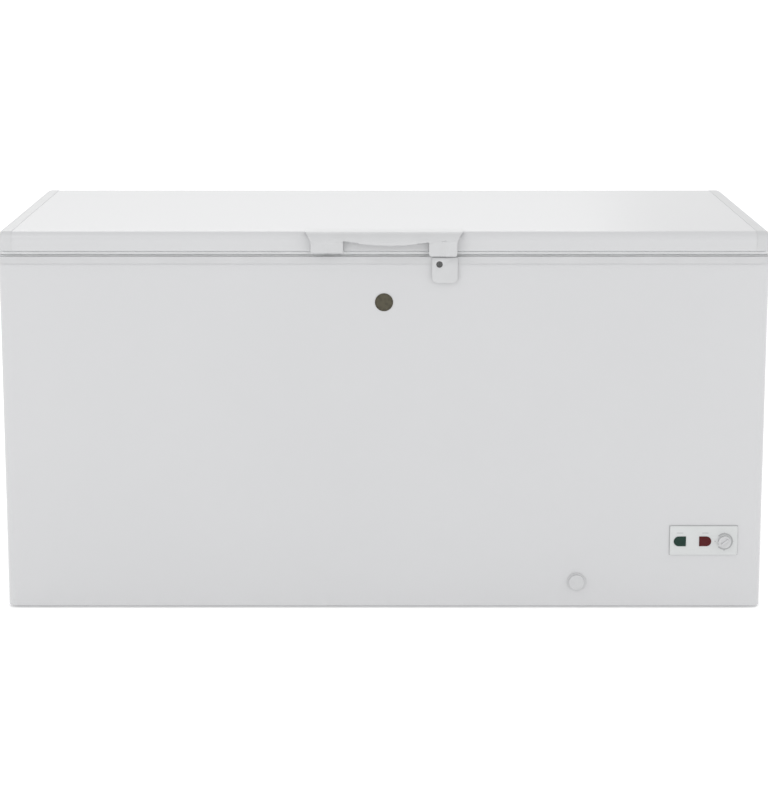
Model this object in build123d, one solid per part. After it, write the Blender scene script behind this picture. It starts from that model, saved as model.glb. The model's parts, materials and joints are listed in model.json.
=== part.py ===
"""Large chest freezer with a lift-up lid, built as separate pieces. Millimetres, +Z up, the front faces -Y.

The origin is on the floor, in the middle of the freezer's width and of its depth from handle to hinges.
"""

from build123d import *
from math import cos, hypot, pi, radians, sin
import os

# ---------------------------------------------------------------- cabinet
CABINET_WIDTH = 1658.0
CABINET_DEPTH = 710.0
LID_TOP = 840.0
FLOOR_GAP = 6.0
CORNER_RADIUS = 18.0
STEEL_SHEET = 0.8
WALL = 65.0
FLOOR_FOAM = 70.0
PAN_SHEET = 1.2
PAN_RECESS = 8.0
LINER_SHEET = 0.8
LINER_CORNER = 40.0
LINER_FLANGE = 12.0

# ---------------------------------------------------------------- rim frame
BAND_HEIGHT = 15.0
BAND_PROUD = 3.0
FRAME_PLATE = 3.0
FRAME_WALL = 2.0
LEDGE_WIDTH = 16.0
LEDGE_DROP = 14.0
LIP_THICKNESS = 2.5
LIP_HEIGHT = 26.0

# ---------------------------------------------------------------- machine room
ROOM_WIDTH = 275.0
ROOM_TOP = 240.0
STEP_FOAM = 60.0

# ---------------------------------------------------------------- lid
LID_HEIGHT = 42.0
LID_SIDE_OVERHANG = 3.0
LID_FRONT_OVERHANG = 8.0
LID_REAR_OVERHANG = 2.0
LID_CAP_WIDTH = 34.0
LID_CORNER = 20.0
LID_EDGE = 18.0
LID_WALL = 2.0
LID_SKIN_INSET = 0.6
LID_LINER = 1.0
SEAL_GAP = 13.0
SEAL_CLEARANCE = 0.3
PLATEAU_DROP = 23.0
PLATEAU_CLEARANCE = 10.0
GASKET_RINGS = ((1.5, 20.0, 0.35), (5.0, 17.0, 0.65), (2.5, 19.0, 1.0))

# ---------------------------------------------------------------- handle and lock
HANDLE_REACH = 22.0
HANDLE_TOP_HALF = 172.0
HANDLE_HALF = 157.0
HANDLE_OVERLAP = 45.0
HANDLE_WALL = 5.0
LEFT_LEG_EDGE = -87.0
RIGHT_LEG_EDGE = 96.0
LEFT_LEG_DROP = 3.0
RIGHT_LEG_DROP = 10.8
KEEPER_RADIUS = 2.0
KEEPER_DROP = 8.0
LOCK_X = 118.9
LOCK_TO_KEEPER = (10.0, 21.1)
LOCK_PLATE_LEFT = 15.9
LOCK_PLATE_RIGHT = 39.1
LOCK_PLATE_HEIGHT = 55.5
LOCK_PLATE_DEPTH = 8.0
LOCK_PLATE_WALL = 2.4
LOCK_PLATE_GAP = 3.2
LOCK_PLATE_CORNER = 12.0
BARREL_RADIUS = 6.9
SLEEVE_RADIUS = 10.0
SLEEVE_LENGTH = 18.0
CAM_THICKNESS = 2.0
CAM_HUB = 9.0
CAM_HOOK = 2.45
CAM_CLEARANCE = 0.3
RUNNING_CLEARANCE = 0.1
PRESS_CLEARANCE = 0.05

# ---------------------------------------------------------------- hinges
HINGE_INSET = 267.0
PIVOT_SETBACK = 24.0
PIVOT_ABOVE_RIM = 5.0
EAR_RADIUS = 14.0
EAR_SHEET = 2.0
CHANNEL_WIDTH = 34.0
FLANGE_WIDTH = 26.0
HINGE_BASE_HEIGHT = 135.0
WEB_DROP = 40.0
PIN_RADIUS = 4.0
LEAF_WIDTH = 90.0
LEAF_PLATE = 2.5
LEAF_ARM_WIDTH = 24.0
CAM_HEIGHT = 19.5
CAM_RATE = 8.0
LID_SWING = 80.0
PLUNGER_DEPTH = 26.0
PLUNGER_HEIGHT = 14.0
PLUNGER_CLEARANCE = 0.3
SPIGOT_RADIUS = 7.0
SPIGOT_LENGTH = 12.0
SPRING_RADIUS = 10.5
SPRING_WIRE = 2.0
SPRING_TURNS = 11

# ---------------------------------------------------------------- refrigeration
EVAPORATOR_TUBE = 4.0
EVAPORATOR_TURNS = 8
EVAPORATOR_RECESS = 9.8
EVAPORATOR_BEND = 45.0
DROP_BEND = 20.0
CONDENSER_TUBE = 2.5
CONDENSER_RUNS = 10
CONDENSER_RECESS = 6.2
COMPRESSOR_RADIUS = 75.0
COMPRESSOR_WALL = 3.0
COMPRESSOR_LOWER = 70.0
COMPRESSOR_HEIGHT = 86.0
COMPRESSOR_EDGE = 36.0
COMPRESSOR_RIM = 5.0
COMPRESSOR_RIM_HEIGHT = 4.0
COMPRESSOR_FROM_RIGHT = 139.0
COMPRESSOR_FROM_BACK = 201.0
TRAY_SHEET = 2.0
GROMMET_HEIGHT = 14.0
GROMMET_RADIUS = 11.0
BOLT_RADIUS = 3.0
BOLT_SPACING = (75.0, 70.0)
FOOT_PLATE = 2.5
CAPILLARY_TUBE = 1.5
DRYER_RADIUS = 9.0
DRYER_LENGTH = 90.0
PIPE_BEND = 10.0

# ---------------------------------------------------------------- controls, drain and badge
PANEL_FROM_RIGHT = 128.0
PANEL_HEIGHT_ABOVE_BASE = 148.9
PANEL_SIZE = (148.0, 65.0)
PANEL_THICKNESS = 3.0
PANEL_WINDOW = (140.0, 48.0)
LENS_SIZE = (26.5, 22.0)
LENS_OFFSETS = {"power_lens": -52.1, "alarm_lens": 3.5}
LENS_PROUD = 1.2
CONTROLS_DROP = 1.8
KNOB_OFFSET = 45.4
KNOB_RADIUS = 13.7
KNOB_HEIGHT = 11.0
KNOB_GAP = 0.4
SHAFT_RADIUS = 3.0
BUSH_RADIUS = 5.0
BADGE_RADIUS = 19.5
BADGE_THICKNESS = 1.6
BADGE_BELOW_RIM = 99.6
DRAIN_FROM_STEP = 70.3
DRAIN_HEIGHT_ABOVE_BASE = 54.0
DRAIN_SETBACK = 109.0
DRAIN_FLANGE_RADIUS = 20.5
DRAIN_FLANGE = 2.5
SPOUT_RADIUS = 13.0
SPOUT_LENGTH = 43.0
DRAIN_TUBE_RADIUS = 10.0
DRAIN_TUBE_BORE = 8.0
SLEEVE_WALL = 2.0
CAP_RADIUS = 17.5
CAP_THICKNESS = 2.5
PLUG_HEAD_RADIUS = 13.0
PLUG_HEAD_HEIGHT = 4.0

# ---------------------------------------------------------------- baskets and feet
BASKET_WIDTH = 340.0
BASKET_HEIGHT = 215.0
BASKET_CORNER_GAP = 2.0
BASKET_BAR = 5.0
BASKET_PITCH = 42.0
BASKET_LIP_GAP = 1.5
HANGER_LAP = 11.0
HANGER_THICKNESS = 3.0
REST_CLEARANCE = 0.3
FOOT_INSET = (75.0, 60.0)
FOOT_RADIUS = 20.0
FOOT_HEIGHT = 8.0
STUD_RADIUS = 5.0
STUD_LENGTH = 32.0
NUT_RADIUS = 9.8
NUT_HEIGHT = 8.0
STUD_POCKET = 12.0

# ---------------------------------------------------------------- worked-out places
HINGE_DEPTH = PIVOT_SETBACK + EAR_RADIUS
FRONT = -(CABINET_DEPTH + HINGE_DEPTH - LID_FRONT_OVERHANG - HANDLE_REACH) / 2
BACK = FRONT + CABINET_DEPTH
HALF = CABINET_WIDTH / 2
LID_FRONT = FRONT - LID_FRONT_OVERHANG
LID_REAR = BACK + LID_REAR_OVERHANG
LID_HALF = HALF + LID_SIDE_OVERHANG
LID_BOTTOM = LID_TOP - LID_HEIGHT
RIM_TOP = LID_BOTTOM - SEAL_GAP
BAND_BOTTOM = RIM_TOP - BAND_HEIGHT
FRAME_UNDERSIDE = RIM_TOP - FRAME_PLATE
LEDGE_TOP = RIM_TOP - LEDGE_DROP
LEDGE_UNDERSIDE = LEDGE_TOP - FRAME_PLATE
LIP_BOTTOM = LEDGE_TOP - LIP_HEIGHT
PAN_UNDERSIDE = FLOOR_GAP + PAN_RECESS
PAN_TOP = PAN_UNDERSIDE + PAN_SHEET
CAVITY_FLOOR = PAN_TOP + FLOOR_FOAM + LINER_SHEET
CAVITY_HALF = HALF - WALL
CAVITY_FRONT = FRONT + WALL
CAVITY_BACK = BACK - WALL
MIDDLE = (FRONT + BACK) / 2
ROOM_LEFT = HALF - ROOM_WIDTH
STEP_LEFT = ROOM_LEFT - STEP_FOAM
STEP_TOP = ROOM_TOP + STEP_FOAM
PIVOT_Y = BACK + PIVOT_SETBACK
PIVOT_Z = RIM_TOP + PIVOT_ABOVE_RIM
PLUNGER_TOP = PIVOT_Z - CAM_HEIGHT - PLUNGER_CLEARANCE
HINGE_BASE_BOTTOM = PIVOT_Z - HINGE_BASE_HEIGHT
HINGE_XS = (-(HALF - HINGE_INSET), HALF - HINGE_INSET)
KEEPER_X = LOCK_X + LOCK_TO_KEEPER[0]
KEEPER_Z = LID_BOTTOM - KEEPER_DROP
LOCK_Z = KEEPER_Z - LOCK_TO_KEEPER[1]
LOCK_TOP = LID_BOTTOM - RIGHT_LEG_DROP - LOCK_PLATE_GAP
CAM_BACK = FRONT - BAND_PROUD - CAM_CLEARANCE
PANEL_X = HALF - PANEL_FROM_RIGHT
PANEL_Z = FLOOR_GAP + PANEL_HEIGHT_ABOVE_BASE
CONTROLS_Z = PANEL_Z - CONTROLS_DROP
KNOB_X = PANEL_X + KNOB_OFFSET
DRAIN_X = STEP_LEFT - DRAIN_FROM_STEP
DRAIN_Z = FLOOR_GAP + DRAIN_HEIGHT_ABOVE_BASE
DRAIN_Y = FRONT + DRAIN_SETBACK
COMPRESSOR_X = HALF - COMPRESSOR_FROM_RIGHT
COMPRESSOR_Y = BACK - COMPRESSOR_FROM_BACK
COMPRESSOR_FOOT = PAN_TOP + TRAY_SHEET + GROMMET_HEIGHT
COMPRESSOR_BASE = COMPRESSOR_FOOT + FOOT_PLATE
COMPRESSOR_JOIN = COMPRESSOR_BASE + COMPRESSOR_LOWER
COMPRESSOR_PORT = COMPRESSOR_JOIN + 23.0
EVAPORATOR_OUT = LINER_SHEET + EVAPORATOR_TUBE + 0.2
EVAPORATOR_X = CAVITY_HALF + EVAPORATOR_OUT
EVAPORATOR_LOW = STEP_TOP + 30.0
EVAPORATOR_HIGH = LIP_BOTTOM - 55.0
RETURN_X = EVAPORATOR_X + 11.0
SUCTION_Y = MIDDLE - 96.0
RETURN_Y = COMPRESSOR_Y - COMPRESSOR_RADIUS - 15.0
TUBE_END = ROOM_TOP - 8.0
CONDENSER_Y = FRONT + STEEL_SHEET + CONDENSER_TUBE + 0.2
CONDENSER_LOW = ROOM_TOP - 80.0
CONDENSER_HIGH = BAND_BOTTOM - 70.0
CONDENSER_LEFT = -HALF + 39.0
CONDENSER_RIGHT = ROOM_LEFT - 44.0
CONDENSER_END = ROOM_LEFT + 40.0
CONDENSER_RETURN = ROOM_TOP - 20.0
FOOT_PLACES = {
    "foot_front_left": (-HALF + FOOT_INSET[0], FRONT + FOOT_INSET[1]),
    "foot_front_right": (HALF - FOOT_INSET[0], FRONT + FOOT_INSET[1]),
    "foot_back_left": (-HALF + FOOT_INSET[0], BACK - FOOT_INSET[1]),
    "foot_back_right": (HALF - FOOT_INSET[0], BACK - FOOT_INSET[1]),
}


# ---------------------------------------------------------------- shape helpers
def block(low, high):
    """A box between two opposite corners."""
    size = [b - a for a, b in zip(low, high)]
    centre = [(a + b) / 2 for a, b in zip(low, high)]
    return Pos(*centre) * Box(*size)


def bar(axis, place, radius, low, high):
    """A round bar along one axis, from low to high, at a place on the other two axes."""
    middle = (low + high) / 2
    if axis == "X":
        return Pos(middle, *place) * Rot(0, 90, 0) * Cylinder(radius, high - low)
    if axis == "Y":
        return Pos(place[0], middle, place[1]) * Rot(90, 0, 0) * Cylinder(radius, high - low)
    return Pos(*place, middle) * Cylinder(radius, high - low)


def raised(outline, low, high):
    """A plan outline raised from one height to another."""
    return Pos(0, 0, low) * extrude(outline, high - low)


def from_front(outline, front, back):
    """An outline drawn in X and Z, made solid between two depths."""
    return Pos(0, back, 0) * extrude(Plane.XZ * outline, back - front)


def from_side(outline, left, right):
    """An outline drawn in Y and Z, made solid between two places across the width."""
    return Pos(left, 0, 0) * extrude(Plane.YZ * outline, right - left)


def pipe(points, bends, radius):
    """A round pipe along straight runs joined by arcs."""
    path = FilletPolyline(*points, radius=bends)
    section = Plane(origin=path @ 0, z_dir=path % 0) * Circle(radius)
    return sweep(section, path=path)


def cabinet_plan(inset, back_inset=0.0):
    """The cabinet's plan, round at its front corners, drawn in from the steel's outer face."""
    depth = CABINET_DEPTH - inset - back_inset
    plan = Pos(0, FRONT + inset + depth / 2) * Rectangle(CABINET_WIDTH - 2 * inset, depth)
    corners = plan.vertices().group_by(Axis.Y)[0]
    return fillet(corners, max(CORNER_RADIUS - inset, 2.0))


def cavity_plan(outset):
    """The food compartment's plan, drawn out from the liner's inner face."""
    width = 2 * (CAVITY_HALF + outset)
    depth = CAVITY_BACK - CAVITY_FRONT + 2 * outset
    return Pos(0, MIDDLE) * RectangleRounded(width, depth, LINER_CORNER + outset)


def cavity(outset):
    """The food compartment's space, with the step over the machine room, drawn out from the liner."""
    space = raised(cavity_plan(outset), CAVITY_FLOOR - outset, LEDGE_UNDERSIDE)
    low = (STEP_LEFT + outset, FRONT, 0)
    step = block(low, (HALF, BACK, STEP_TOP - outset))
    return space - step


def lid_block(inset, bottom):
    """The lid's rounded outer form, drawn in from its end caps' outer face, down to a height."""
    width = 2 * (LID_HALF - inset)
    depth = LID_REAR - LID_FRONT - 2 * inset
    plan = Pos(0, (LID_REAR + LID_FRONT) / 2) * RectangleRounded(width, depth, LID_CORNER - inset)
    form = raised(plan, bottom, LID_TOP - inset)
    return fillet(form.edges().group_by(Axis.Z)[-1], LID_EDGE - inset)


def lens_outline(grow, left_round):
    """A D-shaped lens in X and Z, round on its left or on its right, centred on zero."""
    width = LENS_SIZE[0] + 2 * grow
    height = LENS_SIZE[1] + 2 * grow
    side = 1 if left_round else -1
    centre = side * (height / 2 - width / 2)
    straight = Pos(side * height / 4, 0) * Rectangle(width - height / 2, height)
    return straight + Pos(centre, 0) * Circle(height / 2)


def group(solids):
    """Several separate solids that are one node."""
    return Compound(children=list(solids))


# ---------------------------------------------------------------- places that several pieces share
def hinge_screw_places():
    """Where each hinge base is screwed to the back: X and Z."""
    across = CHANNEL_WIDTH / 2 + EAR_SHEET + FLANGE_WIDTH / 2
    heights = (HINGE_BASE_BOTTOM + 20.0, HINGE_BASE_BOTTOM + 100.0)
    return [(x + side * across, z) for x in HINGE_XS for side in (-1, 1) for z in heights]


def leaf_screw_places():
    """Where each hinge leaf is screwed to the lid: X and Z."""
    heights = (LID_BOTTOM + 7.0, LID_BOTTOM + 17.0)
    return [(x + side * 34.0, z) for x in HINGE_XS for side in (-1, 1) for z in heights]


def cover_corners():
    """The rear cover's left, right, bottom and top."""
    return ROOM_LEFT + 11.0, HALF - 12.0, FLOOR_GAP + 24.0, ROOM_TOP - 8.0


def cover_screw_places():
    """Where the rear cover is screwed to the back panel: X and Z."""
    left, right, bottom, top = cover_corners()
    middle = (left + right) / 2
    return [(x, z) for x in (left + 7.0, middle, right - 7.0) for z in (bottom + 7.0, top - 7.0)]


def screw_shanks():
    """The shanks of the screws in the cabinet's back."""
    hinge = [bar("Y", place, 2.2, BACK - 14.0, BACK + EAR_SHEET) for place in hinge_screw_places()]
    cover = [bar("Y", place, 1.8, BACK - 8.0, BACK + 1.0) for place in cover_screw_places()]
    return hinge, cover


def leaf_face():
    """The depth of the lid skin's rear face, where the hinge leaves sit."""
    return LID_REAR - LID_SKIN_INSET


def leaf_shanks():
    """The shanks of the screws that hold the leaves to the lid."""
    face = leaf_face()
    return [bar("Y", place, 2.2, face - 14.0, face + LEAF_PLATE) for place in leaf_screw_places()]


def lock_sleeve_hole():
    """The round hole that the lock's sleeve fills."""
    return bar("Y", (LOCK_X, LOCK_Z), SLEEVE_RADIUS, FRONT - BAND_PROUD, FRONT + SLEEVE_LENGTH)


def drain_path():
    """The drain tube's centre line, from behind the front to the compartment's floor."""
    return ((DRAIN_X, FRONT + 8.0, DRAIN_Z), (DRAIN_X, DRAIN_Y, DRAIN_Z), (DRAIN_X, DRAIN_Y, CAVITY_FLOOR))


def drain_bar(radius):
    """The drain tube's outer or inner form."""
    return pipe(drain_path(), DRAIN_TUBE_RADIUS * 1.6, radius)


def grille_window():
    """The side grille's opening in the wrap: low and high corners in Y and Z."""
    return (COMPRESSOR_Y - 125.0, FLOOR_GAP + 44.0), (COMPRESSOR_Y + 125.0, ROOM_TOP - 40.0)


# ---------------------------------------------------------------- cabinet pieces
def outer_wrap():
    """The steel wrap: front and both sides in one bent sheet, open at the back."""
    plan = cabinet_plan(0) - cabinet_plan(STEEL_SHEET, -CORNER_RADIUS)
    wrap = raised(plan, FLOOR_GAP, FRAME_UNDERSIDE)
    wrap -= lock_sleeve_hole()
    wrap -= bar("Y", (DRAIN_X, DRAIN_Z), SPOUT_RADIUS + SLEEVE_WALL, FRONT - 1, FRONT + 2)
    window = Pos(PANEL_X, PANEL_Z) * Rectangle(*PANEL_WINDOW)
    wrap -= from_front(window, FRONT - 1, FRONT + 2)
    (y0, z0), (y1, z1) = grille_window()
    return wrap - block((HALF - 2, y0, z0), (HALF + 1, y1, z1))


def back_panel():
    """The steel back, between the wrap's two sides, with the machine room's opening."""
    inside = HALF - STEEL_SHEET
    panel = block((-inside, BACK - STEEL_SHEET, FLOOR_GAP), (inside, BACK, FRAME_UNDERSIDE))
    left, right, bottom, top = cover_corners()
    panel -= block((left + 15, BACK - 2, bottom + 15), (right - 15, BACK + 1, top - 15))
    hinge, cover = screw_shanks()
    return panel - hinge - cover


def base_pan():
    """The base pan with its turned-down edge, and the four weld nuts that take the feet."""
    inner = STEEL_SHEET + PAN_SHEET
    pan = raised(cabinet_plan(STEEL_SHEET, STEEL_SHEET), PAN_UNDERSIDE, PAN_TOP)
    pan += raised(
        cabinet_plan(STEEL_SHEET, STEEL_SHEET) - cabinet_plan(inner, inner), FLOOR_GAP, PAN_UNDERSIDE
    )
    nuts = []
    for place in FOOT_PLACES.values():
        hole = bar("Z", place, STUD_RADIUS + RUNNING_CLEARANCE, 0, PAN_TOP + NUT_HEIGHT)
        pan -= hole
        hexagon = Pos(*place) * RegularPolygon(NUT_RADIUS, 6)
        nuts.append(raised(hexagon, PAN_TOP, PAN_TOP + NUT_HEIGHT) - hole)
    return group([pan, *nuts])


def inner_liner():
    """The food compartment's thin liner, with a flange under the rim frame."""
    liner = cavity(LINER_SHEET)
    liner += raised(cavity_plan(LINER_FLANGE), LEDGE_UNDERSIDE - LINER_SHEET, LEDGE_UNDERSIDE)
    liner -= cavity(0)
    return liner - drain_bar(DRAIN_TUBE_RADIUS)


def foam_insulation():
    """The foam between the wrap and the liner, with room for the tubes, the studs and the machine room."""
    foam = raised(cabinet_plan(STEEL_SHEET, STEEL_SHEET), PAN_TOP, FRAME_UNDERSIDE)
    foam -= raised(cavity_plan(LEDGE_WIDTH + FRAME_WALL), LEDGE_UNDERSIDE, RIM_TOP)
    foam -= raised(cavity_plan(LINER_FLANGE), LEDGE_UNDERSIDE - LINER_SHEET, RIM_TOP)
    foam -= cavity(LINER_SHEET)
    foam -= block((ROOM_LEFT, FRONT, PAN_TOP), (HALF, BACK, ROOM_TOP))
    foam -= raised(cavity_plan(EVAPORATOR_RECESS), EVAPORATOR_LOW - 10, EVAPORATOR_HIGH + 10)
    slot_half = EVAPORATOR_TUBE + 2.0
    foam -= block(
        (CAVITY_HALF - LINER_CORNER, CAVITY_FRONT - EVAPORATOR_RECESS, EVAPORATOR_HIGH - 10),
        (RETURN_X + slot_half, RETURN_Y + slot_half, EVAPORATOR_HIGH + 10),
    )
    foam -= block(
        (CAVITY_HALF, RETURN_Y - 3 * slot_half, ROOM_TOP),
        (RETURN_X + slot_half, RETURN_Y + slot_half, EVAPORATOR_HIGH),
    )
    foam -= block(
        (EVAPORATOR_X - slot_half, SUCTION_Y - slot_half, ROOM_TOP),
        (EVAPORATOR_X + slot_half, SUCTION_Y + 3 * slot_half, EVAPORATOR_LOW),
    )
    foam -= block(
        (CONDENSER_LEFT - 10, FRONT, CONDENSER_LOW - 10),
        (ROOM_LEFT, FRONT + STEEL_SHEET + CONDENSER_RECESS, CONDENSER_HIGH + 10),
    )
    for place in FOOT_PLACES.values():
        foam -= bar("Z", place, STUD_POCKET, PAN_TOP, FOOT_HEIGHT + STUD_LENGTH + 3)
    foam -= lock_sleeve_hole()
    foam -= bar("Y", (DRAIN_X, DRAIN_Z), SPOUT_RADIUS + SLEEVE_WALL, FRONT, FRONT + SPOUT_LENGTH + 2)
    foam -= drain_bar(DRAIN_TUBE_RADIUS)
    return foam - screw_shanks()[0]


def top_frame():
    """The moulded rim: outer band, flat top, basket ledge and inner lip, in one piece."""
    band = cabinet_plan(-BAND_PROUD)
    frame = raised(band - cabinet_plan(0), BAND_BOTTOM, RIM_TOP)
    frame += raised(band - cavity_plan(LEDGE_WIDTH), FRAME_UNDERSIDE, RIM_TOP)
    wall = cavity_plan(LEDGE_WIDTH + FRAME_WALL)
    frame += raised(wall - cavity_plan(LEDGE_WIDTH), LEDGE_UNDERSIDE, RIM_TOP)
    frame += raised(wall - cavity_plan(-LIP_THICKNESS), LEDGE_UNDERSIDE, LEDGE_TOP)
    frame += raised(cavity_plan(0) - cavity_plan(-LIP_THICKNESS), LIP_BOTTOM, LEDGE_TOP)
    return frame - lock_sleeve_hole()


# ---------------------------------------------------------------- refrigeration pieces
def evaporator_coil():
    """The cold coil: one tube wound round the liner, both ends dropping into the machine room."""
    rise = (EVAPORATOR_HIGH - EVAPORATOR_LOW) / EVAPORATOR_TURNS
    front = CAVITY_FRONT - EVAPORATOR_OUT
    back = CAVITY_BACK + EVAPORATOR_OUT
    points = [(EVAPORATOR_X, SUCTION_Y, TUBE_END), (EVAPORATOR_X, SUCTION_Y, EVAPORATOR_LOW)]
    bends = [DROP_BEND]
    for turn in range(EVAPORATOR_TURNS):
        low = EVAPORATOR_LOW + turn * rise
        last = turn == EVAPORATOR_TURNS - 1
        points += [(EVAPORATOR_X, back, low), (-EVAPORATOR_X, back, low + rise)]
        points += [(-EVAPORATOR_X, front, low + rise)]
        points += [(RETURN_X if last else EVAPORATOR_X, front, low + rise)]
        bends += [EVAPORATOR_BEND] * 4
    points += [(RETURN_X, RETURN_Y, EVAPORATOR_HIGH), (RETURN_X, RETURN_Y, TUBE_END)]
    bends += [DROP_BEND]
    return pipe(points, bends, EVAPORATOR_TUBE)


def condenser_coil():
    """The warm coil: one tube in level runs behind the front sheet, both ends in the machine room."""
    pitch = (CONDENSER_HIGH - CONDENSER_LOW) / (CONDENSER_RUNS - 1)
    points = [(CONDENSER_END, CONDENSER_Y, CONDENSER_LOW)]
    for run in range(CONDENSER_RUNS - 1):
        side = CONDENSER_LEFT if run % 2 == 0 else CONDENSER_RIGHT
        height = CONDENSER_LOW + run * pitch
        points += [(side, CONDENSER_Y, height), (side, CONDENSER_Y, height + pitch)]
    far = CONDENSER_RIGHT + 30.0
    points += [(far, CONDENSER_Y, CONDENSER_HIGH), (far, CONDENSER_Y, CONDENSER_RETURN)]
    points += [(CONDENSER_END, CONDENSER_Y, CONDENSER_RETURN)]
    bends = [pitch * 0.45] * (2 * (CONDENSER_RUNS - 1)) + [PIPE_BEND] * 2
    return pipe(points, bends, CONDENSER_TUBE)


def compressor_bolt_places():
    """The four places of the compressor's grommets and bolts."""
    across, along = BOLT_SPACING
    return [(COMPRESSOR_X + i * across, COMPRESSOR_Y + j * along) for i in (-1, 1) for j in (-1, 1)]


def compressor_tray():
    """The tray that carries the compressor on the base pan."""
    x, y = COMPRESSOR_X, COMPRESSOR_Y
    tray = block((x - 100, y - 90, PAN_TOP), (x + 100, y + 90, PAN_TOP + TRAY_SHEET))
    for place in compressor_bolt_places():
        tray -= bar("Z", place, BOLT_RADIUS + RUNNING_CLEARANCE, PAN_TOP - 1, PAN_TOP + TRAY_SHEET + 1)
    return tray


def compressor_grommets():
    """Four rubber grommets under the compressor's feet."""
    low = PAN_TOP + TRAY_SHEET
    rings = []
    for place in compressor_bolt_places():
        ring = bar("Z", place, GROMMET_RADIUS, low, low + GROMMET_HEIGHT)
        rings.append(ring - bar("Z", place, BOLT_RADIUS + RUNNING_CLEARANCE, low, low + GROMMET_HEIGHT))
    return group(rings)


def compressor_bolts():
    """Four bolts through the compressor's feet, the grommets and the tray."""
    bolts = []
    for place in compressor_bolt_places():
        shank = bar("Z", place, BOLT_RADIUS, PAN_TOP, COMPRESSOR_BASE)
        head = raised(Pos(*place) * RegularPolygon(5.8, 6), COMPRESSOR_BASE, COMPRESSOR_BASE + 4.0)
        bolts.append(shank + head)
    return group(bolts)


def compressor_lower():
    """The compressor's lower shell, on its foot plate."""
    place = (COMPRESSOR_X, COMPRESSOR_Y)
    inner = COMPRESSOR_RADIUS - COMPRESSOR_WALL
    shell = bar("Z", place, COMPRESSOR_RADIUS, COMPRESSOR_BASE, COMPRESSOR_JOIN)
    rim_low = COMPRESSOR_JOIN - COMPRESSOR_RIM_HEIGHT
    shell += bar("Z", place, COMPRESSOR_RADIUS + COMPRESSOR_RIM, rim_low, COMPRESSOR_JOIN)
    shell -= bar("Z", place, inner, COMPRESSOR_BASE + COMPRESSOR_WALL, COMPRESSOR_JOIN + 1)
    across, along = BOLT_SPACING
    plate = Pos(*place) * RectangleRounded(2 * across + 40, 2 * along + 30, 15)
    foot = raised(plate, COMPRESSOR_FOOT, COMPRESSOR_BASE)
    for spot in compressor_bolt_places():
        foot -= bar("Z", spot, BOLT_RADIUS + RUNNING_CLEARANCE, COMPRESSOR_FOOT - 1, COMPRESSOR_BASE + 1)
    return shell + foot


def can(radius, low, high, edge):
    """A round can with a rounded top, standing at the compressor's place."""
    form = bar("Z", (COMPRESSOR_X, COMPRESSOR_Y), radius, low, high)
    return fillet(form.edges().group_by(Axis.Z)[-1], edge)


def compressor_upper():
    """The compressor's upper shell, with its rounded top."""
    top = COMPRESSOR_JOIN + COMPRESSOR_HEIGHT
    wall = COMPRESSOR_WALL
    rim_radius = COMPRESSOR_RADIUS + COMPRESSOR_RIM
    shell = can(COMPRESSOR_RADIUS, COMPRESSOR_JOIN, top, COMPRESSOR_EDGE)
    place = (COMPRESSOR_X, COMPRESSOR_Y)
    shell += bar("Z", place, rim_radius, COMPRESSOR_JOIN, COMPRESSOR_JOIN + COMPRESSOR_RIM_HEIGHT)
    return shell - can(COMPRESSOR_RADIUS - wall, COMPRESSOR_JOIN - 1, top - wall, COMPRESSOR_EDGE - wall)


def terminal_cover():
    """The cover over the compressor's terminals, shaped to its shell."""
    x, y = COMPRESSOR_X, COMPRESSOR_Y - COMPRESSOR_RADIUS
    low = (x - 26, y - 30, COMPRESSOR_BASE + 12)
    cover = block(low, (x + 26, y + 20, COMPRESSOR_JOIN - COMPRESSOR_RIM_HEIGHT - 2))
    cover = fillet(cover.edges().filter_by(Axis.Z).group_by(Axis.Y)[0], 6)
    return cover - bar("Z", (COMPRESSOR_X, COMPRESSOR_Y), COMPRESSOR_RADIUS, 0, COMPRESSOR_JOIN)


def dryer_ends():
    """The filter dryer's place: X, Z, front end and back end."""
    start = SUCTION_Y - 150.0
    return CONDENSER_END + 16.0, CONDENSER_RETURN - 20.0, start, start + DRYER_LENGTH


def filter_dryer():
    """The copper capsule that dries and filters the refrigerant."""
    x, z, start, end = dryer_ends()
    capsule = bar("Y", (x, z), DRYER_RADIUS, start, end)
    return fillet(capsule.edges(), DRYER_RADIUS * 0.6)


def refrigerant_pipes():
    """The pipes between the compressor, both coils and the dryer, as separate lengths."""
    x, z, start, end = dryer_ends()
    port = COMPRESSOR_PORT
    suction = (
        (EVAPORATOR_X, SUCTION_Y, TUBE_END),
        (EVAPORATOR_X, SUCTION_Y, port),
        (COMPRESSOR_X, SUCTION_Y, port),
        (COMPRESSOR_X, COMPRESSOR_Y - COMPRESSOR_RADIUS, port),
    )
    right = COMPRESSOR_X + COMPRESSOR_RADIUS
    corner = (CONDENSER_END + 28.0, FRONT + 59.0)
    discharge = (
        (CONDENSER_END, CONDENSER_Y, CONDENSER_LOW),
        (corner[0], CONDENSER_Y, CONDENSER_LOW),
        (corner[0], corner[1], port),
        (right + 30.0, corner[1], port),
        (right + 30.0, COMPRESSOR_Y, port),
        (right, COMPRESSOR_Y, port),
    )
    to_dryer = (
        (CONDENSER_END, CONDENSER_Y, CONDENSER_RETURN),
        (x, CONDENSER_Y, CONDENSER_RETURN),
        (x, start - 30.0, CONDENSER_RETURN),
        (x, start - 8.0, z),
        (x, start, z),
    )
    capillary = (
        (x, end, z),
        (x, RETURN_Y, z),
        (RETURN_X, RETURN_Y, z),
        (RETURN_X, RETURN_Y, TUBE_END),
    )
    return group(
        [
            pipe(suction, DROP_BEND, EVAPORATOR_TUBE),
            pipe(discharge, PIPE_BEND, CONDENSER_TUBE),
            pipe(to_dryer, 5.0, CONDENSER_TUBE),
            pipe(capillary, PIPE_BEND, CAPILLARY_TUBE),
        ]
    )


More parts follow.
